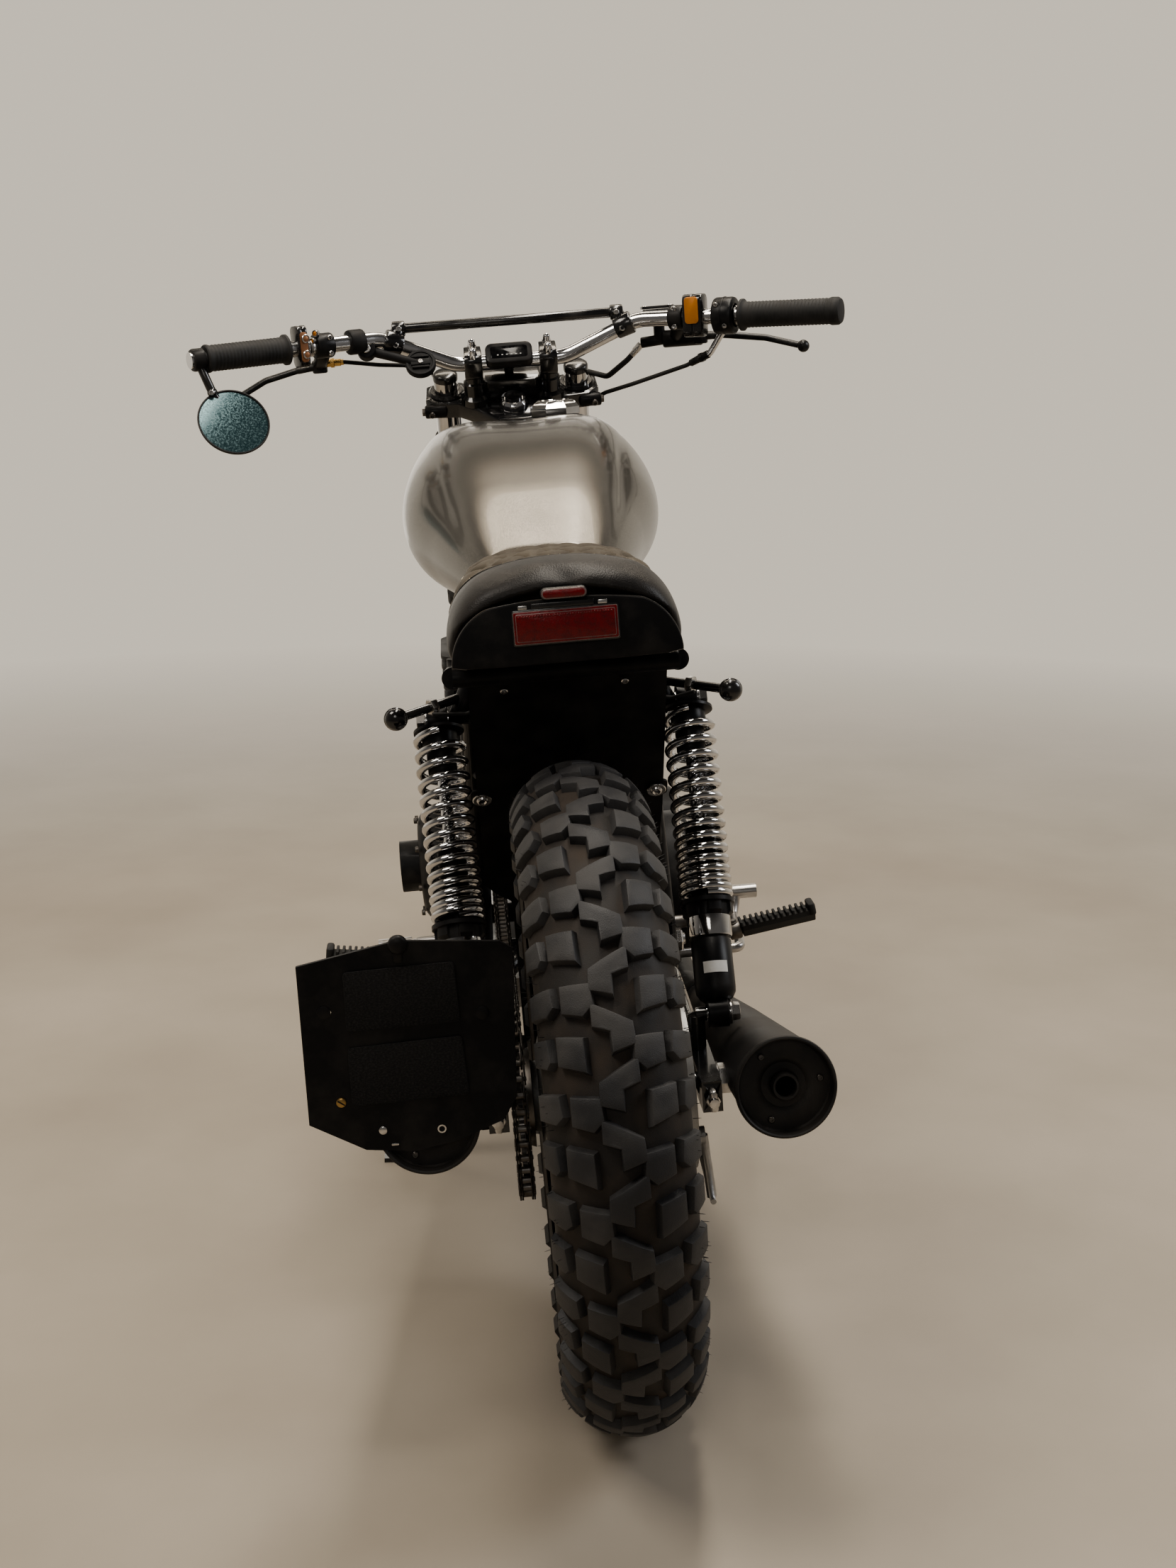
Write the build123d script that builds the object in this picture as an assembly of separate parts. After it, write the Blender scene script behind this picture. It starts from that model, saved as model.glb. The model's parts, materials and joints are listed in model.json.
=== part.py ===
from build123d import *
from math import atan2, cos, degrees, radians, sin, sqrt, tan
import os

# Main sizes in millimetres: X forward, Y to the rider's left, Z up, from the rear tyre's foot
WHEELBASE = 1400
RAKE = 28.5
LEAN = 4.3
REAR_R = 333
REAR_WIDTH = 139
REAR_CROWN = 51
REAR_WALL = 95
FRONT_R = 331
FRONT_WIDTH = 104
FRONT_CROWN = 39
FRONT_WALL = 81
TREAD = 10
LUGS = 42
LUG_SHARE = 0.74
SPOKES = 36
REAR_AXLE_R = 9
FRONT_AXLE_R = 8.5
FORK_SPREAD = 94
FORK_OFFSET = 50
FORK_TUBE_R = 17.5
SLIDER_R = 24
FORK_TOP = 783
STEM_R = 13
HEAD_TUBE = (575, 722)
TOP_YOKE = (736, 766)
LOW_YOKE = (536, 568)
DISC_R = 146
BACKBONE_R = 19
PIVOT = (420, 345)
SHOCK_TOP = (216, 134, 683)
SHOCK_LOW = (41, 127, 388)
SPRING_R = 28.5
SPRING_WIRE = 4.4
SPRING_TURNS = 12
CHAIN_Y = 84
CHAIN_PITCH = 15.875
SPROCKET_R = 91
DRIVE_R = 43
DRIVE = (505, 372)
CRANK = (680, 395)
CYLINDERS = 62
FINS = 10
FIN_GAP = 15
PIPE_R = 19
STAND_PIVOT = (560, 128, 186)
STAND_FOOT = (612, 246)
STAND_BOLT_R = 5
LUG_EDGE = 0.9
BAR_R = 11
BAR_LOW = (0, 78, 0)
BAR_ELBOW = (-27, 180, 43)
BAR_TIP = (-161, 427, 35)
PLATE_X = -118
PLATE_HOLES = 146
PLATE_HOLE_R = 3.5

# Clearances: within one body, at a running fit, and round a moving part
FIT = 0.1
RUNNING = 0.05
SEAT_GAP = 0.3

SIDES = (1, -1)
GROUND = tan(radians(LEAN))

# Local frame of the front end: origin on the front axle, z up the fork, x square to it
FORK = Location((WHEELBASE, 0, FRONT_R), (0, -RAKE, 0))
HEAD_X = -FORK_OFFSET


def rod(a, b, r, bore=0):
    """Round bar from a to b, bored through when a bore is given."""
    a, b = Vector(*a), Vector(*b)
    bar = Cylinder(r, (b - a).length)
    if bore:
        bar -= Cylinder(bore, (b - a).length)
    return Plane(origin=(a + b) / 2, z_dir=b - a) * bar


def bent(points, bend, r):
    """Round tube along a polyline whose corners are rounded to the bend radius."""
    path = FilletPolyline(*points, radius=bend)
    return sweep(Plane(origin=path @ 0, z_dir=path % 0) * Circle(r), path=path)


def disc(x, y, z, r, wide, bore=0):
    """Disc square to the Y axis, centred on x, y, z."""
    body = Cylinder(r, wide)
    if bore:
        body -= Cylinder(bore, wide)
    return Pos(x, y, z) * Rot(90, 0, 0) * body


def plate(outline, y, thick):
    """Flat plate in the XZ plane from outline points, centred on y."""
    face = make_face(Polyline(*outline, close=True))
    return Pos(0, y + thick / 2, 0) * extrude(Plane.XZ * face, thick)


def panel(x, base, low, wide, mid, edge, edge_z, top):
    """Section square to X: flat base, sides bulged out to an edge line, crowned top."""
    outline = Line((base, low), (-base, low))
    outline += ThreePointArc((-base, low), (-wide, mid), (-edge, edge_z))
    outline += ThreePointArc((-edge, edge_z), (0, top), (edge, edge_z))
    outline += ThreePointArc((edge, edge_z), (wide, mid), (base, low))
    return Plane(origin=(x, 0, 0), x_dir=(0, 1, 0), z_dir=(1, 0, 0)) * make_face(outline)


def lug_ring(root, tip, low, high, turn):
    """Band of square lugs about Y between two side faces; at turn 0 one stands flat on the ground."""
    flat = LUGS * 0.75 - LUG_SHARE / 2
    outline = []
    for i in range(LUGS):
        for part, radius in ((0, root), (0, tip), (LUG_SHARE, tip), (LUG_SHARE, root)):
            angle = radians(360 / LUGS * (i + part + turn + flat))
            outline.append((radius * cos(angle), radius * sin(angle)))
    face = make_face(Polyline(*outline, close=True)) - Circle(root - TREAD)
    return Pos(0, high, 0) * extrude(Plane.XZ * face, high - low)


def tyre(radius, width, crown, wall, rows):
    """Block tyre about Y at the origin; rows hold two edges as shares of the half width, and a turn."""
    half = width / 2
    rim = radius - wall
    carcass = radius - TREAD
    foot = rim + wall * 0.32
    side = carcass - crown
    inner = half - TREAD * 0.45
    section = make_face(
        Polyline((rim, -half * 0.55), (rim, half * 0.55))
        + Line((rim, half * 0.55), (foot, half * 0.86))
        + Line((foot, half * 0.86), (side, inner))
        + ThreePointArc((side, inner), (carcass, 0), (side, -inner))
        + Line((side, -inner), (foot, -half * 0.86))
        + Line((foot, -half * 0.86), (rim, -half * 0.55))
    )
    body = Rot(90, 0, 0) * revolve(Plane.XZ * section, Axis.Z)
    arc = (half ** 2 + crown ** 2) / (2 * crown)
    rings = []
    for low, high, turn in rows:
        middle = half * (low + high) / 2
        tip = radius - arc + sqrt(arc ** 2 - middle ** 2)
        rings.append(lug_ring(tip - TREAD * 1.4, tip, half * low, half * high, turn))
    return body + rings


def wire_wheel(rim, rim_width, hub):
    """Rim, crossed spokes and bored hub about Y; hub rows hold y, radius, width and bore."""
    half = rim_width / 2
    outline = [(rim, -half), (rim - 16, -half), (rim - 22, -half * 0.5), (rim - 22, half * 0.5),
               (rim - 16, half), (rim, half), (rim, half - 5), (rim - 12, half * 0.5),
               (rim - 12, -half * 0.5), (rim, -half + 5)]
    section = make_face(Polyline(*outline, close=True))
    wheel = Rot(90, 0, 0) * revolve(Plane.XZ * section, Axis.Z)
    wheel += [disc(0, y, 0, radius, width, bore) for y, radius, width, bore in hub]
    spokes = []
    for i in range(SPOKES):
        y, radius = hub[1 + i % 2][:2]
        at_rim = radians(360 / SPOKES * i)
        at_hub = at_rim + radians(360 / SPOKES * 2) * (1 if i % 4 < 2 else -1)
        start = ((radius - 5) * cos(at_hub), y, (radius - 5) * sin(at_hub))
        end = ((rim - 19) * cos(at_rim), y * 0.12, (rim - 19) * sin(at_rim))
        spokes.append(rod(start, end, 2))
    return wheel + spokes


parts = {}

# Frame: raked head tube, backbone, downtubes, cradle, seat rails
head = FORK * Pos(HEAD_X, 0, sum(HEAD_TUBE) / 2)
head_top = (FORK * Pos(HEAD_X, 0, HEAD_TUBE[1])).position
neck = (FORK * Pos(HEAD_X, 0, HEAD_TUBE[1] - 32)).position
down_top = (FORK * Pos(HEAD_X, 0, HEAD_TUBE[1] - 70)).position
KNEE = neck - Vector(67, 0, 33.5)
SADDLE = Vector(PIVOT[0] + 20, 0, 772)
NOSE_X = CRANK[0] + 268
RAIL_Z = 746
frame = head * Cylinder(29, HEAD_TUBE[1] - HEAD_TUBE[0])
frame += bent([tuple(neck), tuple(KNEE), tuple(SADDLE)], 60, BACKBONE_R)
for side in SIDES:
    frame += bent([(down_top.X, side * 14, down_top.Z), (NOSE_X, side * 68, 440),
                   (NOSE_X - 76, side * 98, 214), (PIVOT[0] + 50, side * 104, 207),
                   (PIVOT[0] - 16, side * 112, 330), (PIVOT[0] - 32, side * 94, 748)], 45, 14)
    frame += bent([(SADDLE.X + 14, side * 10, 764), (392, side * 82, 750),
                   (SHOCK_TOP[0], side * 98, RAIL_Z), (62, side * 112, RAIL_Z + 8)], 30, 11)
    frame += rod((SHOCK_TOP[0], side * 92, 720), (SHOCK_TOP[0], side * 110, SHOCK_TOP[2]), 13)
    frame += rod((SHOCK_TOP[0], side * 96, SHOCK_TOP[2]), (SHOCK_TOP[0], side * 148, SHOCK_TOP[2]), 7)
    frame += rod((SHOCK_TOP[0], side * 98, RAIL_Z), (396, side * 104, 470), 9)
    frame += rod((300, side * 91, 748), (300, side * 91, 768), 9)
    frame += rod((96, side * 108, 752), (96, side * 108, 768), 9)
frame += rod((388, -94, 735), (388, 94, 735), 12)
frame += rod((62, -112, RAIL_Z + 8), (62, 112, RAIL_Z + 8), 10)
frame += rod((PIVOT[0] + 50, -100, 207), (PIVOT[0] + 50, 100, 207), 13)
frame += rod((NOSE_X - 98, -98, 207), (NOSE_X - 98, 98, 207), 13)
PIVOT_PLATE = ((-35, -45), (46, -45), (36, 35), (-40, 35))
for side, trim in ((1, -16), (-1, 0)):
    outline = [(PIVOT[0] + x + (trim if x > 40 else 0), PIVOT[1] + z) for x, z in PIVOT_PLATE]
    frame += plate(outline, side * 112, 12)

# Fuel tank over the backbone; rows: share of its length, base, low, wide, mid, edge, edge top, top
TANK_REAR = 345
TANK_FRONT = head_top.X - 80
TUNNEL = 28
TANK = ((1, 62, -36, 78, 0, 58, 34, 48), (0.877, 108, -59, 134, 8, 106, 66, 91),
        (0.673, 130, -52, 160, 36, 120, 96, 128), (0.468, 126, -31, 157, 44, 116, 102, 137),
        (0.264, 102, -8, 126, 40, 104, 84, 120), (0.094, 84, 14, 97, 42, 84, 74, 98),
        (0, 72, 30, 80, 54, 68, 68, 86))


def tank_at(share):
    """Point on the middle of the backbone line at a share of the tank's length."""
    x = TANK_REAR + share * (TANK_FRONT - TANK_REAR)
    return Vector(x, 0, SADDLE.Z + (x - SADDLE.X) * (KNEE.Z - SADDLE.Z) / (KNEE.X - SADDLE.X))


sections = []
for share, base, low, wide, mid, edge, edge_z, top in TANK:
    at = tank_at(share)
    sections.append(panel(at.X, base, at.Z + low, wide, at.Z + mid, edge, at.Z + edge_z, at.Z + top))
tank = loft(sections)
along = (KNEE - SADDLE).normalized()
tunnel = Plane(origin=tank_at(0.5), x_dir=along, z_dir=(-along.Z, 0, along.X))
TUNNEL_TOP = BACKBONE_R + 5
tank -= tunnel * Pos(0, 0, TUNNEL_TOP - 90) * Box(TANK_FRONT - TANK_REAR + 110, 2 * TUNNEL, 180)
for share in (0.88, 0.213):
    at = tank_at(share)
    frame += rod(at - Vector(0, TUNNEL, 0), at + Vector(0, TUNNEL, 0), 9)
CAP_R = 20
cap_at = tank_at(0.857) + Vector(0, -50, 98)
bore = Pos(*cap_at) * Cylinder(CAP_R + FIT, 60)
cap = Pos(*cap_at) * (Pos(0, 0, -12) * Cylinder(CAP_R, 30) + Pos(0, 0, 4) * Cylinder(36, 12))
cap = cap - (tank - bore) + Pos(*cap_at) * Pos(0, 0, 15) * Cylinder(32, 12)
parts["fuel_tank"] = tank - bore
parts["fuel_cap"] = cap

# Side stand bracket, its bolt square to the two places of the leg
pivot = Vector(*STAND_PIVOT)
foot = Vector(*STAND_FOOT, STAND_FOOT[1] * GROUND + 9 - LUG_EDGE)
folded = Vector(-0.98, 0.15, -0.10)
stand_axis = (foot - pivot).cross(folded).normalized()
frame += rod(pivot - stand_axis * 34, pivot - stand_axis * 10, 15)
frame += rod(pivot - stand_axis * 32, (STAND_PIVOT[0], 100, 205), 8)
frame += rod(pivot - stand_axis * 12, pivot + stand_axis * 15, STAND_BOLT_R)
frame -= head * Cylinder(STEM_R + RUNNING, HEAD_TUBE[1] - HEAD_TUBE[0] + 80)
PIVOT_BOLT_R = 9
frame -= rod((PIVOT[0], -130, PIVOT[1]), (PIVOT[0], 130, PIVOT[1]), PIVOT_BOLT_R + FIT)
parts["frame"] = frame

# Swingarm with its pivot bolt, rear axle and chain adjusters
ARM_Y = 106
AXLE_Z = REAR_R
swingarm = rod((PIVOT[0], -124, PIVOT[1]), (PIVOT[0], 124, PIVOT[1]), PIVOT_BOLT_R)
swingarm += rod((PIVOT[0], -95, PIVOT[1]), (PIVOT[0], 95, PIVOT[1]), 20)
for side in SIDES:
    swingarm += bent([(PIVOT[0], side * 66, PIVOT[1]), (PIVOT[0] - 55, side * 84, PIVOT[1] - 1),
                      (PIVOT[0] - 120, side * 104, PIVOT[1] - 4), (-20, side * ARM_Y, AXLE_Z)], 30, 12)
    swingarm += plate([(-48, AXLE_Z - 15), (60, AXLE_Z - 19), (60, AXLE_Z + 19), (-48, AXLE_Z + 17)],
                      side * ARM_Y, 20)
    swingarm += rod((-62, side * ARM_Y, AXLE_Z), (-40, side * ARM_Y, AXLE_Z), 5)
    swingarm += rod((SHOCK_LOW[0], side * 104, AXLE_Z + 17), (SHOCK_LOW[0], side * 104, SHOCK_LOW[2]), 9)
    swingarm += rod((SHOCK_LOW[0], side * 104, SHOCK_LOW[2]), (SHOCK_LOW[0], side * 146, SHOCK_LOW[2]), 7)
swingarm += rod((0, -122, AXLE_Z), (0, 122, AXLE_Z), REAR_AXLE_R)
parts["swingarm"] = swingarm

# Shock absorbers with a coil spring wound round each between two collars
BODY = ((0, 12), (14, 12), (16, 17), (38, 21), (96, 21), (104, SPRING_R + 1), (118, SPRING_R + 1))
shocks = Part()
springs = Part()
for side in SIDES:
    top = Vector(SHOCK_TOP[0], side * SHOCK_TOP[1], SHOCK_TOP[2])
    low = Vector(SHOCK_LOW[0], side * SHOCK_LOW[1], SHOCK_LOW[2])
    along = (top - low).normalized()
    upright = Plane(origin=low, z_dir=along)
    profile = [(0, 0)] + [(r, z) for z, r in BODY] + [(0, BODY[-1][0])]
    shock = upright * revolve(Plane.XZ * make_face(Polyline(*profile, close=True)), Axis.Z)
    shock += rod(low + along * 100, top - along * 100, 15) + rod(low + along * 100, top, 7)
    shock += rod(top - along * 34, top - along * 20, SPRING_R + 1) + rod(top - along * 34, top, 11)
    for eye in (top, low):
        shock = shock + disc(eye.X, eye.Y, eye.Z, 15, 20) - disc(eye.X, eye.Y, eye.Z, 7 + FIT, 30)
    shocks += shock
    seat_low = BODY[-1][0] + SPRING_WIRE + SEAT_GAP
    rise = (top - low).length - 34 - SEAT_GAP - SPRING_WIRE - seat_low
    coil = Helix(rise / SPRING_TURNS, rise, SPRING_R - SPRING_WIRE)
    wire = sweep(Plane(origin=coil @ 0, z_dir=coil % 0) * Circle(SPRING_WIRE), path=coil)
    springs += Plane(origin=low + along * seat_low, z_dir=along) * wire
parts["shocks"] = shocks
parts["springs"] = springs

# Engine: crankcase, side covers, finned cylinders and head, carburettors, air filters
DECK = CRANK[1] + 65
outline = [(CRANK[0] - 194, CRANK[1] - 100), (CRANK[0] - 160, CRANK[1] - 157), (CRANK[0] + 120, CRANK[1] - 157),
           (CRANK[0] + 150, CRANK[1] - 100), (CRANK[0] + 150, CRANK[1] + 20), (CRANK[0] + 118, DECK),
           (CRANK[0] - 90, DECK), (CRANK[0] - 110, CRANK[1] + 54), (CRANK[0] - 194, CRANK[1] + 40)]
case = plate(outline, 0, 240)
case = fillet(case.edges().filter_by(Axis.Y), 14)
case += Pos(DRIVE[0] - 15, 0, DRIVE[1] - 22) * Box(90, 132, 150)
case -= Pos(DRIVE[0] - 5, CHAIN_Y + 14, DRIVE[1]) * Box(132, 60, 164)
case -= Pos(PIVOT[0] + 20, -98, DRIVE[1]) * Box(90, 60, 300)
parts["crankcase"] = case
cover = disc(CRANK[0], 152, CRANK[1], 78, 64)
cover = fillet(cover.edges().sort_by(Axis.Y)[-1], 26)
cover += disc(CRANK[0], 192, CRANK[1], 34, 36)
clutch = disc(CRANK[0], -140, CRANK[1], 76, 40) + disc(CRANK[0] - 125, -140, CRANK[1] - 18, 92, 40)
clutch = fillet(clutch.edges().group_by(Axis.Y)[0], 8)
drive = disc(DRIVE[0] + 2, CHAIN_Y + 24, DRIVE[1], DRIVE_R + 7, 20)
drive += rod((DRIVE[0], 68, DRIVE[1]), (DRIVE[0], CHAIN_Y + 16, DRIVE[1]), 12)
drive += disc(DRIVE[0], CHAIN_Y, DRIVE[1], DRIVE_R - 2, 7)
parts["engine_covers"] = cover + clutch + drive
BORE_X = CRANK[0] + 10
HEAD_Z = DECK + FINS * FIN_GAP + 15
barrel = Pos(BORE_X, 0, DECK + 15) * Box(150, 220, 30)
for i in range(FINS):
    fin = extrude(RectangleRounded(184, 262, 34), 4)
    barrel += Pos(BORE_X, 0, DECK + 25 + (FIN_GAP - 1) * i) * fin
for side in SIDES:
    barrel += Pos(BORE_X, side * CYLINDERS, (DECK + HEAD_Z) / 2) * Cylinder(54, HEAD_Z - DECK)
parts["cylinders"] = barrel
PORT_Z = HEAD_Z + 30
block = Pos(BORE_X, 0, HEAD_Z + 33.5) * Box(150, 236, 67)
for i in range(5):
    block += Pos(BORE_X, 0, HEAD_Z + 3 + 13 * i) * extrude(RectangleRounded(186, 262, 30), 4)
cover_box = Pos(BORE_X, 0, HEAD_Z + 76) * Box(124, 226, 26)
block += fillet(cover_box.edges().group_by(Axis.Z)[-1], 10)
for side in SIDES:
    block += rod((BORE_X + 80, side * CYLINDERS, PORT_Z), (BORE_X + 102, side * CYLINDERS, PORT_Z), 26)
    block += Pos(BORE_X, side * CYLINDERS, HEAD_Z + 88) * Cylinder(24, 12)
parts["cylinder_head"] = block
carbs = rod((BORE_X - 130, -90, PORT_Z), (BORE_X - 130, 90, PORT_Z), 8)
pods = Part()
dome = make_face(Polyline((0, -58), (16, -58), (20, -50), (20, 0), (27, 4), (27, 34), (20, 44), (0, 46), close=True))
for side in SIDES:
    carbs += rod((BORE_X - 170, side * CYLINDERS, PORT_Z), (BORE_X - 93, side * CYLINDERS, PORT_Z), 22)
    carbs += Pos(BORE_X - 128, side * CYLINDERS, PORT_Z) * revolve(Plane.XZ * dome, Axis.Z)
    pod = rod((BORE_X - 244, side * CYLINDERS, PORT_Z), (BORE_X - 170, side * CYLINDERS, PORT_Z), 32)
    pods += fillet(pod.edges().sort_by(Axis.X)[0], 12)
parts["carburettors"] = carbs
parts["air_filters"] = pods

# Exhaust: two header pipes and two megaphone silencers with stepped end plates
SILENCER_START = (430, 150, 262)
SILENCER_END = (-95, 173, AXLE_Z + 23)
CAN_R = 49
CAN_WALL = 3
OUTLET_R = 12
headers = Part()
silencers = Part()
for side in SIDES:
    start = Vector(SILENCER_START[0], side * SILENCER_START[1], SILENCER_START[2])
    end = Vector(SILENCER_END[0], side * SILENCER_END[1], SILENCER_END[2])
    length = (end - start).length
    joint = start - (end - start) * 0.2
    headers += bent([(BORE_X + 102, side * CYLINDERS, PORT_Z), (NOSE_X - 64, side * CYLINDERS, PORT_Z),
                     (NOSE_X - 52, side * 142, 300), (NOSE_X - 118, side * 146, 236),
                     tuple(joint), tuple(start)], 45, PIPE_R)
    bore_r = OUTLET_R - CAN_WALL
    profile = make_face(Polyline(
        (0, 0), (PIPE_R + 3, 0), (PIPE_R + 5, 40), (CAN_R, length), (CAN_R - CAN_WALL, length),
        (CAN_R - CAN_WALL - 1, length - 16), (OUTLET_R, length - 16), (OUTLET_R, length - 2),
        (bore_r, length - 2), (bore_r, length - 60), (0, length - 60), close=True))
    silencers += Plane(origin=start, z_dir=end - start) * revolve(Plane.XZ * profile, Axis.Z)
parts["exhaust_pipes"] = headers
parts["silencers"] = silencers

# Seat, tail panel and lamps; seat rows as the tank's, with x first
SEAT_Z = 768
SEAT = ((TANK_REAR - 1, 70, 74, 796, 62, 824, 834), (290, 94, 98, 798, 82, 832, 845),
        (190, 106, 112, 800, 86, 840, 853), (100, 116, 118, 800, 88, 845, 861),
        (40, 119, 118, 802, 86, 849, 866), (6, 115, 114, 800, 82, 842, 858))
parts["seat"] = loft([panel(x, base, SEAT_Z, wide, mid, edge, edge_z, top)
                      for x, base, wide, mid, edge, edge_z, top in SEAT])
TAIL = ((5.7, 110, 108, 800, 84, 834, 840), (-8, 104, 102, 800, 80, 828, 834))
parts["tail_panel"] = loft([panel(x, base, SEAT_Z + 4, wide, mid, edge, edge_z, top)
                            for x, base, wide, mid, edge, edge_z, top in TAIL])
lights = Pos(-6, 0, 840) * Box(22, 44, 10) + Pos(-12, 0, 809) * Box(8, 100, 32)
for side in SIDES:
    lights += rod((SHOCK_TOP[0], side * 104, 706), (165, side * 170, 700), 5)
    lights += Pos(165, side * 176, 698) * Sphere(12.5)
parts["rear_lights"] = lights - frame - parts["seat"] - parts["tail_panel"]

# Inner mudguard: an arc ahead of the rear tyre that runs up flat to the seat
GUARD_R = REAR_R + 17
GUARD_WIDE = 170
GUARD_WALL = 3
turn_up = radians(40)
foot_angle = radians(30)
reach = GUARD_R + 60
sector = [(0, AXLE_Z)]
for angle in (foot_angle, turn_up):
    sector.append((reach * cos(angle), AXLE_Z + reach * sin(angle)))
guard = disc(0, 0, AXLE_Z, GUARD_R + GUARD_WALL, GUARD_WIDE, GUARD_R) & plate(sector, 0, GUARD_WIDE)
bend_at = Vector(GUARD_R * cos(turn_up), 0, AXLE_Z + GUARD_R * sin(turn_up))
out = Vector(cos(turn_up), 0, sin(turn_up)) * GUARD_WALL
up = Vector(-sin(turn_up), 0, cos(turn_up)) * ((RAIL_Z + 14 - bend_at.Z) / cos(turn_up))
corners = [bend_at, bend_at + out, bend_at + out + up, bend_at + up]
guard += plate([(p.X, p.Z) for p in corners], 0, GUARD_WIDE)
for side in SIDES:
    guard += rod((238, side * 80, 596), (306, side * 99, 600), 5)
parts["inner_mudguard"] = guard - frame

# Foot controls: ribbed pegs, brake pedal, gear lever
pegs = Part()
for side in SIDES:
    pegs += bent([(PIVOT[0] + 14, side * 118, 362), (PIVOT[0] + 14, side * 150, 362),
                  (PIVOT[0] + 10, side * 204, 346)], 12, 8)
    inner = Vector(PIVOT[0] + 10, side * 204, 346)
    outer = Vector(PIVOT[0] + 10, side * 300, 360)
    pegs += rod(inner, outer, 10)
    for i in range(9):
        at = inner + (outer - inner) * (i / 8)
        pegs += rod(at - Vector(0, 3, 0), at + Vector(0, 3, 0), 14)
parts["footpegs"] = pegs
pedals = bent([(450, -118, 316), (450, -208, 316), (540, -212, 330), (560, -220, 352)], 9, 6)
pedals += rod((560, -212, 354), (560, -246, 354), 9)
pedals += rod((450, -118, 316), (450, -132, 316), 11)
pedals += rod((478, 118, 352), (478, 190, 352), 7) + rod((478, 188, 352), (545, 204, 329), 6)
pedals += rod((545, 200, 329), (545, 242, 329), 10)
parts["foot_controls"] = pedals

# Plate holder on the left, on an arm from the swingarm end
PLATE = ((282, 514), (184, 545), (90, 538), (78, 530), (86, 384), (100, 362), (142, 346),
         (186, 336), (234, 334), (286, 358))
PLATE_MID = (184, 470)
sheet = make_face(Polyline(*PLATE, close=True))
holder = Plane(origin=(PLATE_X, 0, 0), x_dir=(0, 1, 0), z_dir=(1, 0, 0)) * extrude(sheet, 4)
for side in SIDES:
    y = PLATE_MID[0] + side * PLATE_HOLES / 2
    holder -= rod((PLATE_X - 4, y, PLATE_MID[1]), (PLATE_X + 8, y, PLATE_MID[1]), PLATE_HOLE_R)
ARM = ((-46, -11), (-20, -11), (-30, 23), (-86, 119), (PLATE_X + 2, 129), (PLATE_X + 2, 103),
       (-98, 99), (-48, 17))
holder += plate([(x, AXLE_Z + z) for x, z in ARM], ARM_Y + 13.5, 7)
parts["plate_holder"] = holder


# Chain loop of side plates over a roller band, rear brake
def chain_line(grow):
    """Face inside the chain's run round both sprockets, grown by a distance."""
    circles = Pos(0, AXLE_Z) * Circle(SPROCKET_R + grow) + Pos(*DRIVE) * Circle(DRIVE_R + grow)
    return make_hull(circles.edges())


def band(outer, inner, wide):
    """Loop of the chain's run between two distances from its pitch line."""
    return Pos(0, CHAIN_Y + wide / 2, 0) * extrude(Plane.XZ * (chain_line(outer) - chain_line(inner)), wide)


chain = band(8, -1, 9)
run = chain_line(3.5).face().outer_wire()
count = round(run.length / CHAIN_PITCH / 2)
links = []
for i in range(count):
    at, way = run @ (i / count), run % (i / count)
    slope = degrees(atan2(way.Y, way.X))
    links.append(Pos(at.X, CHAIN_Y, at.Y) * Rot(0, -slope, 0) * Box(CHAIN_PITCH * 1.45, 16, 12))
chain += links
chain -= Pos(0, CHAIN_Y, AXLE_Z) * Rot(90, 0, 0) * Cylinder(SPROCKET_R - 1.9, 30)
chain -= Pos(DRIVE[0], CHAIN_Y, DRIVE[1]) * Rot(90, 0, 0) * Cylinder(DRIVE_R - 1.9, 30)
parts["chain"] = chain
brake = disc(0, -83, AXLE_Z, 86, 8, REAR_AXLE_R + FIT)
brake += rod((-8, -84, AXLE_Z - 56), (-8, -100, AXLE_Z - 56), 9)
brake += rod((-8, -98, AXLE_Z - 56), (-2, -104, AXLE_Z - 127), 5)
brake += rod((-14, -104, AXLE_Z - 128), (96, -104, AXLE_Z - 115), 3)
parts["rear_brake"] = brake

# Rear wheel: block tyre, crossed spokes, sprocket
REAR_ROWS = ((-0.28, 0.28, 0), (-0.7, -0.34, 0.3), (0.34, 0.7, 0.7), (-0.95, -0.76, 0.1), (0.76, 0.95, 0.9))
parts["rear_tyre"] = Pos(0, 0, AXLE_Z) * tyre(REAR_R, REAR_WIDTH, REAR_CROWN, REAR_WALL, REAR_ROWS)
rear_hub = ((0, 34, 140, REAR_AXLE_R + RUNNING), (-58, 88, 34, REAR_AXLE_R + RUNNING),
            (52, 60, 20, REAR_AXLE_R + RUNNING))
parts["rear_wheel"] = Pos(0, 0, AXLE_Z) * wire_wheel(REAR_R - REAR_WALL, 74, rear_hub)
sprocket = disc(0, CHAIN_Y, AXLE_Z, SPROCKET_R - 2, 6, REAR_AXLE_R + 2)
sprocket += disc(0, (70 + CHAIN_Y) / 2, AXLE_Z, 50, CHAIN_Y - 70, REAR_AXLE_R + 2)
for i in range(6):
    hole = radians(60 * i)
    sprocket -= disc(69 * cos(hole), CHAIN_Y, AXLE_Z + 69 * sin(hole), 11, 20)
parts["rear_sprocket"] = sprocket

# Front fork in its own frame: chrome tubes in cast sliders with axle lugs and dust caps
tubes = Part()
sliders = rod((0, -104, 0), (0, 104, 0), FRONT_AXLE_R)
for side in SIDES:
    tubes += Pos(0, side * FORK_SPREAD, (405 + FORK_TOP) / 2) * Cylinder(FORK_TUBE_R, FORK_TOP - 405)
    sliders += Pos(0, side * FORK_SPREAD, 190) * Cylinder(SLIDER_R, 430)
    sliders += Pos(0, side * FORK_SPREAD, 396) * Cylinder(SLIDER_R + 3, 18)
    sliders += rod((0, side * 76, 0), (0, side * 114, 0), 22)
parts["fork_tubes"] = FORK * tubes
parts["fork_sliders"] = FORK * sliders


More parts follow.
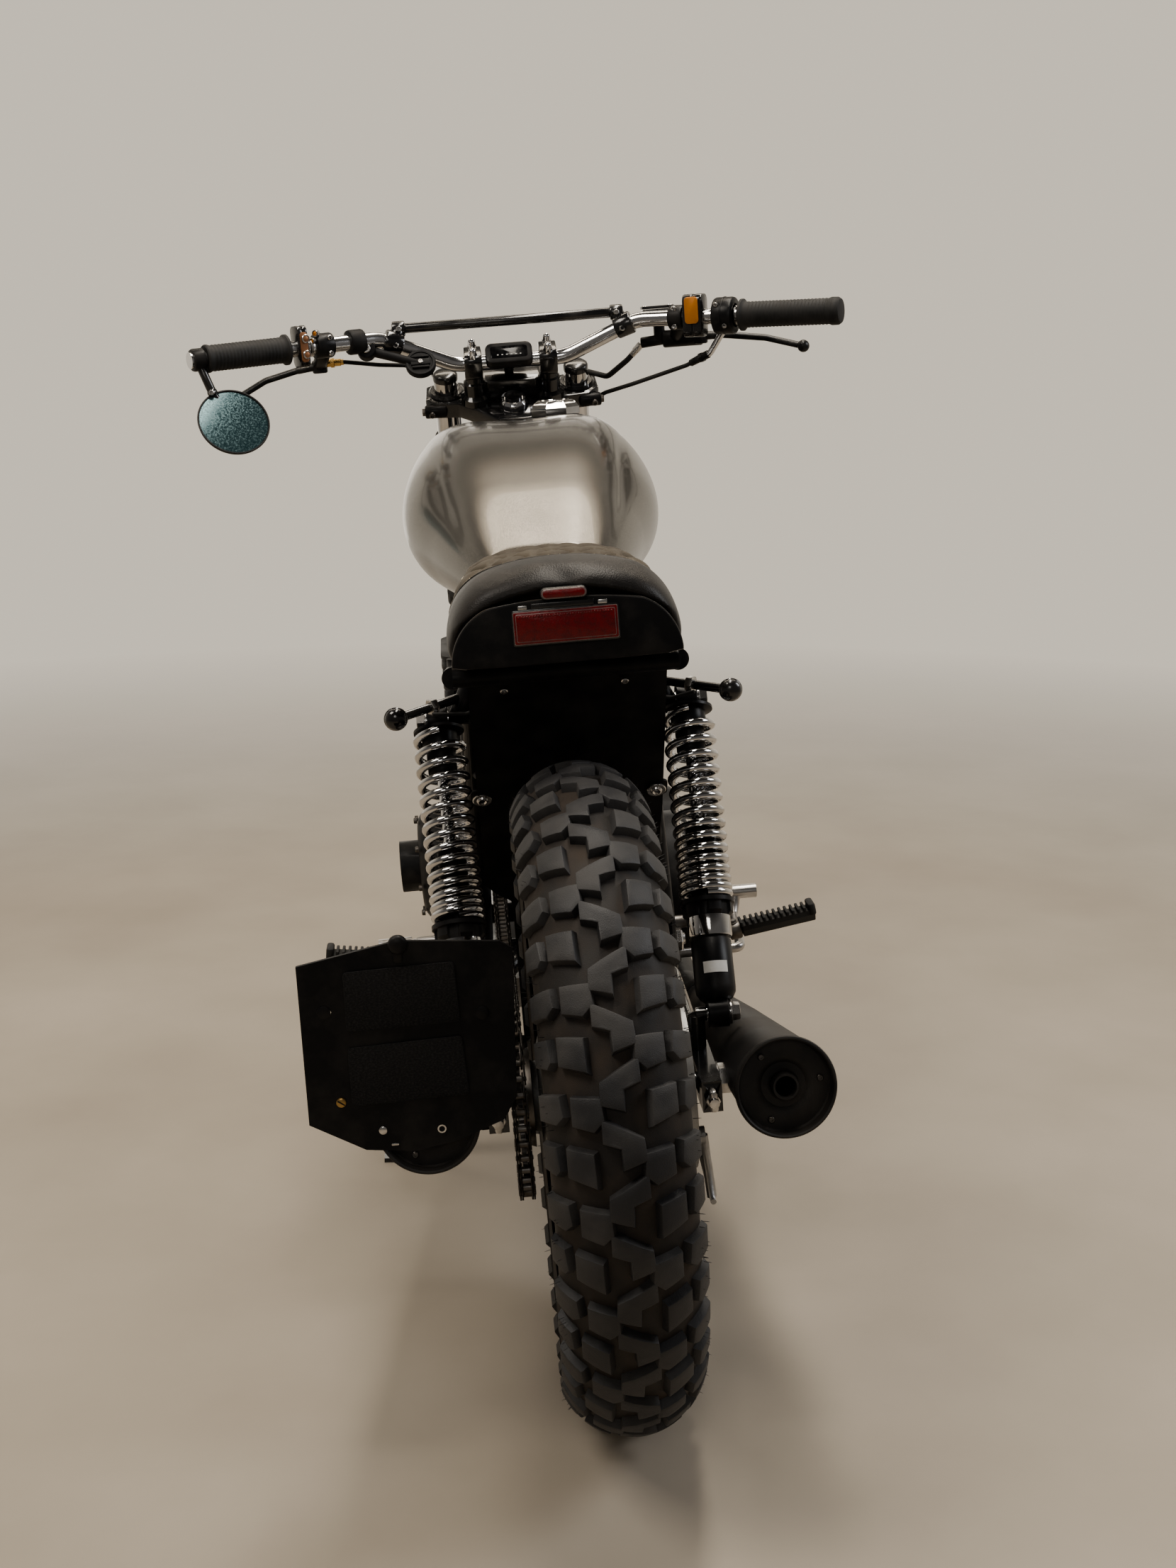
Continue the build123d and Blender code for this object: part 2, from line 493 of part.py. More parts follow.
def yoke(span, ear):
    """Fork bridge between two heights, bored for both tubes."""
    low, high = span
    body = Pos(-22, 0, 0) * Box(60, 2 * FORK_SPREAD, high - low)
    body += Pos(HEAD_X, 0, 0) * Cylinder(34, high - low)
    for side in SIDES:
        body += Pos(0, side * FORK_SPREAD, 0) * Cylinder(ear, high - low)
    for side in SIDES:
        body -= Pos(0, side * FORK_SPREAD, 0) * Cylinder(FORK_TUBE_R + FIT, high - low)
    return Pos(0, 0, (low + high) / 2) * body


top_yoke = FORK * (yoke(TOP_YOKE, 30) - Pos(HEAD_X, 0, 750) * Cylinder(STEM_R + FIT, 60))
bottom = yoke(LOW_YOKE, 31) + Pos(HEAD_X, 0, (LOW_YOKE[0] + 774) / 2 + 5) * Cylinder(STEM_R, 228)
parts["bottom_yoke"] = FORK * bottom

# Handlebar frame: origin midway between its two clamps
BARS = Pos(*(FORK * Pos(-30, 0, TOP_YOKE[1] + 52)).position)
bar_path = []
for side, points in ((-1, (BAR_TIP, BAR_ELBOW, BAR_LOW)), (1, (BAR_LOW, BAR_ELBOW, BAR_TIP))):
    for x, y, z in points:
        bar_path.append((x, side * y, z))
parts["handlebar"] = BARS * bent(bar_path, 60, BAR_R)
bar_bore = BARS * bent(bar_path, 60, BAR_R + FIT)
for side in SIDES:
    post = (FORK * Pos(-30, side * 53, TOP_YOKE[1])).position
    clamp_at = (BARS * Pos(0, side * 53, 0)).position
    top_yoke += rod(tuple(post), tuple(clamp_at), 14)
    top_yoke += rod(clamp_at - Vector(0, 14, 0), clamp_at + Vector(0, 14, 0), 19)
parts["top_yoke"] = top_yoke - bar_bore
BRACE = (-17, 152, 55)
BRACE_R = 6.5
brace = rod((BRACE[0], -BRACE[1] - 8, BRACE[2]), (BRACE[0], BRACE[1] + 8, BRACE[2]), BRACE_R)
for side in SIDES:
    link = rod((BRACE[0], side * BRACE[1], BRACE[2]), (BRACE[0] - 5, side * (BRACE[1] + 10), 34), 11)
    brace += link + rod((-20, side * 150, 33), (-26, side * 174, 41), 16)
brace = BARS * brace
parts["crossbar"] = brace - bar_bore


def on_bar(y, out=0, up=0):
    """Point on the outer run of the handlebar at a given y, shifted forward and up."""
    t = (abs(y) - BAR_ELBOW[1]) / (BAR_TIP[1] - BAR_ELBOW[1])
    x = BAR_ELBOW[0] + (BAR_TIP[0] - BAR_ELBOW[0]) * t + out
    return Vector(x, y, BAR_ELBOW[2] + (BAR_TIP[2] - BAR_ELBOW[2]) * t + up)


def sleeve(y0, y1, r, side, bore=BAR_R + FIT):
    """Collar over the handlebar between two distances from the middle."""
    return rod(on_bar(side * y0), on_bar(side * y1), r, bore)


def pod(y0, y1, side, tall):
    """Upright switch housing clamped round the handlebar."""
    at = on_bar(side * (y0 + y1) / 2, -4, 2)
    shell = Box(26, y1 - y0, tall)
    sweep_back = degrees(atan2(BAR_ELBOW[0] - BAR_TIP[0], BAR_TIP[1] - BAR_ELBOW[1]))
    return Pos(*at) * Rot(0, 0, side * sweep_back) * fillet(shell.edges().filter_by(Axis.Y), 9)


# Grips and the left controls: switch, clutch lever and its cable
GRIP_R = 17.5
grips = sleeve(304, 408, GRIP_R, 1) + sleeve(303, 309, GRIP_R + 3, 1)
grips += sleeve(318, BAR_TIP[1] + 7, GRIP_R, -1, 0) + sleeve(316, 322, GRIP_R + 4, -1)
parts["grips"] = BARS * grips - bar_bore
LEVER_R = 5
CABLE_R = 3
left = pod(279, 292, 1, 56) + sleeve(245, 268, 17, 1)
left += rod(on_bar(256, 4, -8), (-28, 268, 14), 9)
left += bent([(-26, 258, 15), (-33, 298, 9), (-48, 341, -1), (-68, 386, -24)], 30, LEVER_R)
left += bent([(-30, 262, 16), (-33, 231, 16), (-16, 178, 4), (4, 140, -20), (24, 126, -62),
              (66, 122, -86), (118, 118, -100), (150, 84, -118), (182, 26, -136)], 14, CABLE_R)
left = BARS * left - bar_bore

# The right controls: throttle, buttons, front brake cylinder, lever, cable and hose
right = sleeve(284, 309, 25, -1) + sleeve(309, 316, 14, -1) + pod(244, 269, -1, 58)
right += sleeve(225, 244, 17, -1)
right += rod(on_bar(-235, 4, -8), (-16, -236, 14), 9)
right += rod((-8, -184, 13), (-22, -272, 13), 12)
right += Pos(-6, -212, 50) * Box(36, 46, 20) + rod((-13, -212, 12), (-13, -212, 44), 8)
right += bent([(-24, -268, 14), (-34, -300, 13), (-52, -356, 5), (-73, -405, -10)], 30, LEVER_R)
right += Pos(-73, -405, -10) * Sphere(9)
right += bent([tuple(on_bar(-297, 6, -14)), (-62, -276, -10), (-40, -244, -25), (-3, -170, -46),
               (24, -128, -58), (66, -122, -84), (118, -118, -100), (150, -84, -118), (182, -26, -136)],
              14, CABLE_R)
right = BARS * right - bar_bore
HOSE_R = 4
hose = [(-5, -186, 8), (2, -166, -12), (14, -134, -36)]
hose = [tuple((BARS * Pos(*p)).position) for p in hose]
for x, y, z in ((-48, -130, 740), (-46, -128, 640), (-46, -124, 500), (-50, -100, 360), (-62, -72, 130)):
    hose.append(tuple((FORK * Pos(x, y, z)).position))
right += bent(hose, 18, HOSE_R)

# Mirror on the bar's left end, phone holder, instrument
MIRROR = (-173, 378, -50)
MIRROR_FACE = Vector(-0.80, -0.30, 0.52)
mirror = sleeve(410, BAR_TIP[1] - 3, 15, 1)
mirror += rod(on_bar(417), (-172, 400, -14), 6) + rod((-172, 400, -14), (-168, 384, -42), 5)
mirror += Plane(origin=MIRROR, z_dir=MIRROR_FACE) * Cylinder(48, 12)
parts["mirror"] = BARS * mirror - bar_bore
phone = sleeve(203, 223, 17, 1) + rod(on_bar(212, 0, -2), (-28, 199, 26), 9)
phone += rod((-24, 199, 26), (-46, 199, 32), 13) + rod((-36, 197, 29), (-44, 128, 6), 6)
phone += Plane(origin=(-44, 126, 6), z_dir=(-0.8, 0, 0.6)) * Cylinder(21, 14)
parts["phone_mount"] = BARS * phone - bar_bore - brace
left -= parts["phone_mount"]
parts["left_controls"] = left
instrument = Pos(30, 2, 10) * Rot(0, 62, 0) * Box(14, 60, 34) + rod((51, 2, -42), (32, 2, 8), 7)
parts["instrument"] = BARS * instrument - top_yoke - bar_bore

# Headlamp on its ears, front brake, guard
LAMP = (FORK * Pos(101.3, 0, 574.3)).position
LAMP_R = 82
bowl = revolve(Plane.XZ * make_face(Polyline((0, -62), (46, -54), (74, -22), (LAMP_R, 14), (LAMP_R, 34),
                                             (74, 40), (0, 46), close=True)), Axis.Z)
headlamp = Pos(*LAMP) * Rot(0, 90, 0) * bowl
EAR_Z = 640
for side in SIDES:
    headlamp += rod((LAMP.X - 6, side * 76, LAMP.Z), (LAMP.X - 6, side * 92, LAMP.Z), 7)
    headlamp += FORK * Pos(0, side * FORK_SPREAD, EAR_Z) * Cylinder(22, 92)
    ear = (FORK * Pos(18, side * FORK_SPREAD, EAR_Z)).position
    headlamp += rod((LAMP.X - 6, side * 90, LAMP.Z), tuple(ear), 6)
    headlamp -= FORK * Pos(0, side * FORK_SPREAD, EAR_Z) * Cylinder(FORK_TUBE_R + FIT, 200)
parts["headlamp"] = headlamp
caliper = FORK * (Pos(-62, -68, 96) * Box(58, 46, 76) + Pos(-34, -92, 100) * Box(40, 16, 40))
caliper -= FORK * Pos(0, -FORK_SPREAD, 100) * Cylinder(SLIDER_R + FIT, 200)
DISC_Y = -64
caliper -= FORK * Pos(0, DISC_Y, 0) * Rot(90, 0, 0) * Cylinder(DISC_R + 2, 9)
parts["brake_caliper"] = caliper
parts["right_controls"] = right - caliper - headlamp
parts["left_controls"] -= headlamp
FENDER_R = FRONT_R + 17
fender = disc(WHEELBASE, 0, FRONT_R, FENDER_R + 3, FRONT_WIDTH + 8, FENDER_R)
fender_span = [(0, 0)]
for angle in (36, 70, 100, 126):
    fender_span.append((2 * FENDER_R * cos(radians(angle)), 2 * FENDER_R * sin(radians(angle))))
fender &= Pos(WHEELBASE, 0, FRONT_R) * plate(fender_span, 0, 200)
for side in SIDES:
    fender += FORK * rod((6, side * 54, FENDER_R + 2), (6, side * 82, FENDER_R + 2), 5)
    fender -= FORK * Pos(0, side * FORK_SPREAD, 190) * Cylinder(SLIDER_R + FIT, 430)
parts["front_mudguard"] = fender

# Front wheel
FRONT_ROWS = ((-0.34, 0.34, 0), (-0.86, -0.42, 0.5), (0.42, 0.86, 0.5))
front_tyre = tyre(FRONT_R, FRONT_WIDTH, FRONT_CROWN, FRONT_WALL, FRONT_ROWS)
parts["front_tyre"] = Pos(WHEELBASE, 0, FRONT_R) * front_tyre
front_hub = ((0, 26, 140, FRONT_AXLE_R + RUNNING), (34, 44, 10, FRONT_AXLE_R + RUNNING),
             (-36, 44, 10, FRONT_AXLE_R + RUNNING))
parts["front_wheel"] = Pos(WHEELBASE, 0, FRONT_R) * wire_wheel(FRONT_R - FRONT_WALL, 62, front_hub)
parts["front_disc"] = disc(WHEELBASE, DISC_Y, FRONT_R, DISC_R, 5, front_hub[0][1] + FIT)

# Side stand out to the left, its foot flat on the ground, which the lean lowers to the lugs' edges
stand = rod(pivot - stand_axis * 9.5, pivot + stand_axis * 9, 14)
stand += rod(pivot + (foot - pivot) * 0.05, foot, 10)
stand += Pos(foot.X, foot.Y, foot.Y * GROUND + 2.8 - LUG_EDGE) * Rot(LEAN, 0, 0) * Box(64, 42, 6)
stand -= rod(pivot - stand_axis * 20, pivot + stand_axis * 30, STAND_BOLT_R + RUNNING)
parts["side_stand"] = stand

# Park every part: lean left about the tyre line, then centre the row over its footprint
lean = Rot(-LEAN, 0, 0)
leaned = {name: lean * shape for name, shape in parts.items()}
boxes = [shape.bounding_box() for shape in leaned.values()]
low = [min(getattr(box.min, axis) for box in boxes) for axis in "XYZ"]
high = [max(getattr(box.max, axis) for box in boxes) for axis in "XYZ"]
home = Pos(-(low[0] + high[0]) / 2, -(low[1] + high[1]) / 2, -low[2])
os.makedirs("parts", exist_ok=True)
for name, shape in leaned.items():
    export_step(home * Compound(shape.solids()), f"parts/{name}.step")
print("home", home.position, "low", low, "high", high)
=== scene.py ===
# %% [markdown]
# A custom road motorcycle, parked and leaning on its side stand, seen from behind.
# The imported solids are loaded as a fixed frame. Every piece below is worked out in the upright
# bike's own measure, in millimetres from the rear tyre's foot, and one function parks it: it
# leans the points over and moves them into the frame. That way a left piece and a right piece
# share one formula, although the parked bike has no level line left on it.

# %% The frame
import json
import bmesh
import bpy
import numpy as np
from mathutils import Matrix
from mathutils.bvhtree import BVHTree


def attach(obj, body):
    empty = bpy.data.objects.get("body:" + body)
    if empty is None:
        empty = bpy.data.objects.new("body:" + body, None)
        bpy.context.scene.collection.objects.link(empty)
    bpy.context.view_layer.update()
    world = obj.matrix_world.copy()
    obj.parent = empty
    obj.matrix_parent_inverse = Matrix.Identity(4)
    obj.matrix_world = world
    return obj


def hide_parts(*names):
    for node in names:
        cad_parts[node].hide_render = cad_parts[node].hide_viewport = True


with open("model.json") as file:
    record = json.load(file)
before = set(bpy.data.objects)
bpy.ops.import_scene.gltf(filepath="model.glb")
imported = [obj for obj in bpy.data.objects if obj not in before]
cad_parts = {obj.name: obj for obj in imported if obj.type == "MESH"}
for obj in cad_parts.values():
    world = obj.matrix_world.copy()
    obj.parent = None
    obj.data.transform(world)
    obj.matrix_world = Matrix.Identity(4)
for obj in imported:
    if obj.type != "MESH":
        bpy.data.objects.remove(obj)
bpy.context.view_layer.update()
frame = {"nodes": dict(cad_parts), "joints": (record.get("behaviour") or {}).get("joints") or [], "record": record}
joints = {joint["name"]: joint for joint in frame["joints"]}
node_body = {}
for body, nodes in frame["record"]["behaviour"]["bodies"].items():
    node_body.update({node: body for node in nodes})

# %% Parking: upright bike to leaning bike
LEAN = np.radians(4.3)
RAKE = np.radians(28.5)
WHEELBASE = 1400
REAR_R = 333
FRONT_R = 331
SIDES = (1, -1)
rear_axle = np.array(joints["rear_wheel_spin"]["pos_m"]) * 1000
lean_turn = np.array([[1, 0, 0], [0, np.cos(LEAN), np.sin(LEAN)], [0, -np.sin(LEAN), np.cos(LEAN)]])
home = rear_axle - lean_turn @ (0, 0, REAR_R)


def parked(points):
    """Upright millimetres to parked metres: the points turn about X by the lean, then shift."""
    return (np.asarray(points, float) @ lean_turn.T + home) / 1000


def unit(vectors):
    """Vectors scaled to length one."""
    vectors = np.asarray(vectors, float)
    return vectors / np.linalg.norm(vectors, axis=-1, keepdims=True)


def forked(points):
    """Fork millimetres (x square to it, y left, z up it) to upright millimetres: a turn by the rake."""
    x, y, z = np.moveaxis(np.asarray(points, float), -1, 0)
    along = WHEELBASE + x * np.cos(RAKE) - z * np.sin(RAKE)
    return np.stack([along, y, FRONT_R + x * np.sin(RAKE) + z * np.cos(RAKE)], -1)


# %% [markdown]
# The camera is the photograph's: its place, pitch and focal length were solved from the
# tyre, the shock eyes, the fork tops and the bar's tube, whose real sizes are known. It stands
# about 1.8 m behind the rear axle, a little to the left, and looks 13 degrees down.

# %% Camera
PHOTO = (1659, 2212)
FOCAL_PX = 2745
CAMERA_PLACE = np.array([-1832, 172, 1085])
PITCH = np.radians(13.35)
YAW = np.radians(-4.15)


def shown(name, data):
    """Object that holds the data, linked into the scene."""
    thing = bpy.data.objects.new(name, data)
    bpy.context.scene.collection.objects.link(thing)
    return thing


def pose_of(side, up, back, place):
    """World matrix whose own X, Y and Z run along side, up and back."""
    pose = np.eye(4)
    pose[:3] = np.stack([side, up, back, place], -1)
    return Matrix(pose.tolist())


ahead = np.array([np.cos(YAW) * np.cos(PITCH), np.sin(YAW) * np.cos(PITCH), -np.sin(PITCH)])
right = np.array([np.sin(YAW), -np.cos(YAW), 0])
lens = bpy.data.cameras.new("photo_camera")
lens.sensor_width = 36
lens.lens = FOCAL_PX * lens.sensor_width / max(PHOTO)
lens.clip_start, lens.clip_end = 0.05, 60
camera = shown("photo_camera", lens)
camera.matrix_world = pose_of(right, np.cross(right, ahead), -ahead, (CAMERA_PLACE + home) / 1000)
bpy.context.scene.camera = camera
print("lens", round(lens.lens, 1), "mm")

# %% [markdown]
# Soft lamps light the machine: a key from the upper left, a narrow one above, a cooler one from
# the right, low fills behind and in front, and a strip ahead that draws the light along the
# tank's crown. Polished metal shows mostly what stands round it, so the world isn't one even
# colour: it is dark behind the camera and above, and warm ahead. A wrapped picture could do the
# same, but two smooth steps are easier to adjust. The floor comes last in the script.


# %% Lamps and surroundings
def lamp(name, place, aim, size, power, colour, narrow=1.0):
    """Soft lamp at place whose -Z points at aim; narrow is its height as a share of its width."""
    light = bpy.data.lights.new(name, "AREA")
    light.shape, light.size, light.size_y = "RECTANGLE", size, size * narrow
    light.energy, light.color = power, colour
    back = unit(np.array(place, float) - aim)
    side = unit(np.cross((0.01, 0, 1), back))
    shown(name, light).matrix_world = pose_of(side, np.cross(back, side), back, place)


lamp("key_lamp", (-1.3, 1.9, 3.4), (0, 0, 0.4), 1.4, 52, (1.0, 0.93, 0.84))
lamp("top_lamp", (0.0, -0.2, 3.4), (0, 0, 0.4), 2.4, 50, (1.0, 0.93, 0.83), 0.17)
lamp("right_lamp", (-0.6, -3.0, 2.6), (0, 0, 0.5), 1.4, 40, (0.96, 0.97, 1.0))
lamp("rear_fill", (-4.6, 0.6, 2.6), (0, 0, 0.5), 1.2, 14, (1.0, 0.96, 0.9))
lamp("strip_lamp", (1.165, 0.05, 2.785), (-0.28, 0, 0.87), 3.2, 16, (1.0, 0.88, 0.72), 0.08)
lamp("front_lamp", (4.6, 0.3, 1.3), (0, 0, 0.6), 2.4, 14, (1.0, 0.94, 0.85))
world = bpy.data.worlds.new("room")
bpy.context.scene.world = world
world.use_nodes = True
room = world.node_tree
wall_way = room.nodes.new("ShaderNodeTexCoord").outputs["Generated"]
wall_axes = room.nodes.new("ShaderNodeSeparateXYZ")
room.links.new(wall_way, wall_axes.inputs[0])


def eased(axis, *limits):
    """Smooth step of the view's direction along an axis: from two values to two results."""
    step = room.nodes.new("ShaderNodeMapRange")
    step.interpolation_type = "SMOOTHSTEP"
    for socket, value in zip(("From Min", "From Max", "To Min", "To Max"), limits):
        step.inputs[socket].default_value = value
    room.links.new(wall_axes.outputs[axis], step.inputs["Value"])
    return step.outputs[0]


wall_mix = room.nodes.new("ShaderNodeMix")
wall_mix.data_type = "RGBA"
wall_mix.inputs[6].default_value = (0.16, 0.15, 0.14, 1)
wall_mix.inputs[7].default_value = (0.80, 0.73, 0.62, 1)
room.links.new(eased("X", -0.5, 0.8, 0.0, 1.0), wall_mix.inputs[0])
room.links.new(wall_mix.outputs[2], room.nodes["Background"].inputs["Color"])
room.links.new(eased("Z", 0.36, 0.7, 0.8, 0.22), room.nodes["Background"].inputs["Strength"])
bpy.context.scene.view_settings.look = "AgX - Medium High Contrast"


# %% [markdown]
# Every finish is written as a sum. A small class wraps a shader socket, so that
# `0.3 + grain * 0.2` adds the Math nodes by itself, and one method makes any other node.


# %% Shader sums
class Wire:
    """One output socket of a material's node tree, with sums and products."""

    def __init__(self, paint, socket):
        self.paint, self.socket = paint, socket

    def maths(self, operation, other):
        """This socket and another value or wire, through one Math node."""
        return self.paint.node("ShaderNodeMath", {"operation": operation}, {0: self, 1: other})

    def __add__(self, other):
        return self.maths("ADD", other)

    def __mul__(self, other):
        return self.maths("MULTIPLY", other)

    __radd__ = __add__
    __rmul__ = __mul__


# %% One material
class Paint:
    """One material. Its node() adds any node: settings first, then values or wires by socket."""

    def __init__(self, name, colour, rough, metal=0.0, coat=0.0, coat_rough=0.03, extra=()):
        self.material = bpy.data.materials.new(name)
        self.material.use_nodes = True
        self.tree = self.material.node_tree
        self.shader = self.tree.nodes["Principled BSDF"]
        for socket, value in {"Base Color": (*colour, 1), "Roughness": rough, "Metallic": metal,
                              "Coat Weight": coat, "Coat Roughness": coat_rough, **dict(extra)}.items():
            self.shader.inputs[socket].default_value = value
        self.material.diffuse_color = (*colour, 1)

    def node(self, kind, settings=None, inputs=None, out=0):
        """Any node: settings first, then a value or a wire for each socket; gives one output."""
        made = self.tree.nodes.new(kind)
        for key, value in (settings or {}).items():
            setattr(made, key, value)
        for key, value in (inputs or {}).items():
            if isinstance(value, Wire):
                self.tree.links.new(value.socket, made.inputs[key])
            else:
                made.inputs[key].default_value = value
        return Wire(self, made.outputs[out])

    def place(self, scale=(1, 1, 1)):
        """Object coordinates in metres, stretched by a scale."""
        where = self.node("ShaderNodeTexCoord", out="Object")
        return self.node("ShaderNodeMapping", inputs={"Vector": where, "Scale": scale})

    def noise(self, where, scale, detail=4.0, rough=0.55):
        """Cloudy noise from 0 to 1; a larger scale makes finer clouds."""
        return self.node("ShaderNodeTexNoise", inputs={"Vector": where, "Scale": scale, "Detail": detail,
                                                       "Roughness": rough})

    def between(self, value, low, high, to_low=0.0, to_high=1.0):
        """Straight ramp: low to high becomes to_low to to_high, and it stops at both ends."""
        return self.node("ShaderNodeMapRange", inputs={"Value": value, "From Min": low, "From Max": high,
                                                       "To Min": to_low, "To Max": to_high})

    def blend(self, share, one, other):
        """Colour one where share is 0 and other where it is 1."""
        one = one if isinstance(one, Wire) else (*one, 1)
        other = other if isinstance(other, Wire) else (*other, 1)
        return self.node("ShaderNodeMix", {"data_type": "RGBA"}, {0: share, 6: one, 7: other}, out=2)

    def feed(self, socket, wire):
        """Lead a wire into one of the shader's own sockets."""
        self.tree.links.new(wire.socket, self.shader.inputs[socket])

    def bump(self, height, strength, distance=0.001):
        """Tilt the shading by the slope of a height, over a distance in metres."""
        rise = self.node("ShaderNodeBump",
                         inputs={"Height": height, "Strength": strength, "Distance": distance})
        self.feed("Normal", rise)


finishes, finish_slot = {}, {"brushed_tank": "bare_steel"}


def dusty(name, slot, colour, dust, rough, dust_rough, metal=0.0, coat=0.0, grain=0.0, scale=30.0, extra=()):
    """A finish and its slot: wide noise lays dust, so colour and roughness drift by one mask."""
    paint = Paint(name, colour, rough, metal, coat, extra=extra)
    where = paint.place()
    mask = paint.between(paint.noise(where, scale), 0.42, 0.72)
    paint.feed("Base Color", paint.blend(mask, colour, dust))
    paint.feed("Roughness", rough + mask * (dust_rough - rough))
    if grain:
        paint.bump(paint.noise(where, 900.0, 2.0), grain)
    finishes[name] = paint.material
    if slot:
        finish_slot[name] = slot


# %% [markdown]
# Plain finishes come first: each is one base with dust or wear by noise. Gloss paint carries a
# clear coat, satin parts have a fine grain, and cast metal is rougher and mottled.

# %% Finishes: name, slot, colour, dust, roughness and the dust's roughness
SOFT_SHINE = (("Specular IOR Level", 0.22),)
dusty("gloss_black", "black_frame", (0.008, 0.008, 0.009), (0.03, 0.028, 0.026), 0.16, 0.34, coat=0.6)
dusty("satin_black", "black_metal", (0.010, 0.010, 0.011), (0.028, 0.026, 0.025), 0.32, 0.48, grain=0.06,
      extra=SOFT_SHINE)
dusty("engine_black", "engine_black", (0.016, 0.016, 0.017), (0.045, 0.042, 0.039), 0.42, 0.6, grain=0.25,
      extra=SOFT_SHINE)
dusty("exhaust_black", "exhaust_black", (0.014, 0.013, 0.013), (0.05, 0.044, 0.038), 0.5, 0.68, grain=0.2,
      scale=14.0)
dusty("cast_alloy", "engine_alloy", (0.42, 0.42, 0.42), (0.30, 0.29, 0.27), 0.4, 0.58, metal=0.9, grain=0.25)
dusty("polished_alloy", "bar_aluminium", (0.74, 0.74, 0.75), (0.60, 0.60, 0.60), 0.14, 0.24, metal=1.0,
      scale=18.0)
dusty("chrome", "chrome", (0.66, 0.66, 0.67), (0.50, 0.49, 0.47), 0.04, 0.13, metal=1.0, scale=22.0)
dusty("steel_bolt", "brushed", (0.62, 0.61, 0.60), (0.42, 0.40, 0.37), 0.22, 0.38, metal=1.0, scale=50.0)
dusty("brushed_steel", "brushed", (0.52, 0.51, 0.50), (0.38, 0.36, 0.34), 0.28, 0.42, metal=1.0, grain=0.08)
dusty("dark_steel", "brushed", (0.20, 0.19, 0.18), (0.11, 0.09, 0.07), 0.38, 0.6, metal=1.0, grain=0.12)
dusty("chain_steel", "chain_steel", (0.055, 0.05, 0.045), (0.025, 0.02, 0.016), 0.34, 0.55, metal=0.8,
      scale=60.0)
dusty("matt_plastic", "black_plastic", (0.010, 0.010, 0.011), (0.030, 0.028, 0.027), 0.5, 0.66, grain=0.12,
      extra=SOFT_SHINE)
dusty("black_rubber", "black_rubber", (0.012, 0.012, 0.012), (0.035, 0.033, 0.031), 0.62, 0.78, grain=0.2)
dusty("tyre_rubber", "tyre", (0.030, 0.030, 0.032), (0.075, 0.072, 0.070), 0.5, 0.72, grain=0.3, scale=16.0)
dusty("tyre_groove", None, (0.020, 0.017, 0.015), (0.055, 0.042, 0.032), 0.6, 0.8, grain=0.2, scale=24.0)
dusty("lever_black", None, (0.022, 0.022, 0.023), (0.06, 0.058, 0.055), 0.3, 0.45, metal=0.6, grain=0.05,
      scale=60.0)
dusty("brass", None, (0.60, 0.40, 0.16), (0.35, 0.24, 0.11), 0.25, 0.45, metal=1.0)
dusty("red_lens", "red_lens", (0.20, 0.003, 0.005), (0.11, 0.002, 0.004), 0.22, 0.34, coat=0.25, grain=0.3,
      scale=160.0)
dusty("button_orange", None, (0.62, 0.25, 0.05), (0.45, 0.17, 0.04), 0.4, 0.55, metal=0.35)
dusty("button_bronze", None, (0.33, 0.16, 0.08), (0.22, 0.10, 0.05), 0.4, 0.55, metal=0.35)
dusty("cream_thread", None, (0.72, 0.64, 0.50), (0.5, 0.43, 0.33), 0.7, 0.85, scale=200.0)
dusty("blue_glass", None, (0.035, 0.075, 0.085), (0.075, 0.12, 0.13), 0.12, 0.4, metal=0.5, scale=420.0)
dusty("dark_glass", None, (0.006, 0.006, 0.007), (0.02, 0.02, 0.02), 0.1, 0.2, scale=80.0, extra=SOFT_SHINE)
dusty("blank_label", None, (0.75, 0.75, 0.73), (0.6, 0.59, 0.56), 0.35, 0.5, scale=60.0)
dusty("clear_edge", None, (0.24, 0.17, 0.16), (0.15, 0.10, 0.10), 0.15, 0.3, coat=0.5, scale=80.0)

# %% [markdown]
# A mesh is an array of points and arrays of faces. The helpers below make closed skins: a grid
# of points whose rows are rings, a profile spun about an axis, a round skin carried along a
# path, and a plate cut from an outline with its rims rounded off. Real edges are never knife
# sharp, and it is the rounded rim that catches the light.


# %% Shapes from arrays
def axes(way, side=(0, 0, 1)):
    """Three square directions: the third runs along way, the first leans towards side."""
    z = unit(way)
    if abs(z @ unit(side)) > 0.98:
        side = (1, 0, 0)
    y = unit(np.cross(z, side))
    return np.array([np.cross(y, z), y, z])


def skin(rings, loop=False):
    """Quads over rings of points (rows, columns, 3); a loop has no ends, else both ends are flat."""
    rows, cols = rings.shape[:2]
    r = np.arange(rows if loop else rows - 1)[:, None]
    c = np.arange(cols)[None, :]
    corners = [(r + a) % rows * cols + (c + b) % cols for a, b in ((0, 0), (0, 1), (1, 1), (1, 0))]
    faces = [np.stack(corners, -1).reshape(-1, 4)]
    if not loop:
        faces += [c[:, ::-1], (rows - 1) * cols + c]
    return rings.reshape(-1, 3), faces


# %% Profiles spun about an axis
def circle(sides):
    """Cosines and sines of a full turn."""
    turn = np.linspace(0, 2 * np.pi, sides, endpoint=False)
    return np.cos(turn), np.sin(turn)


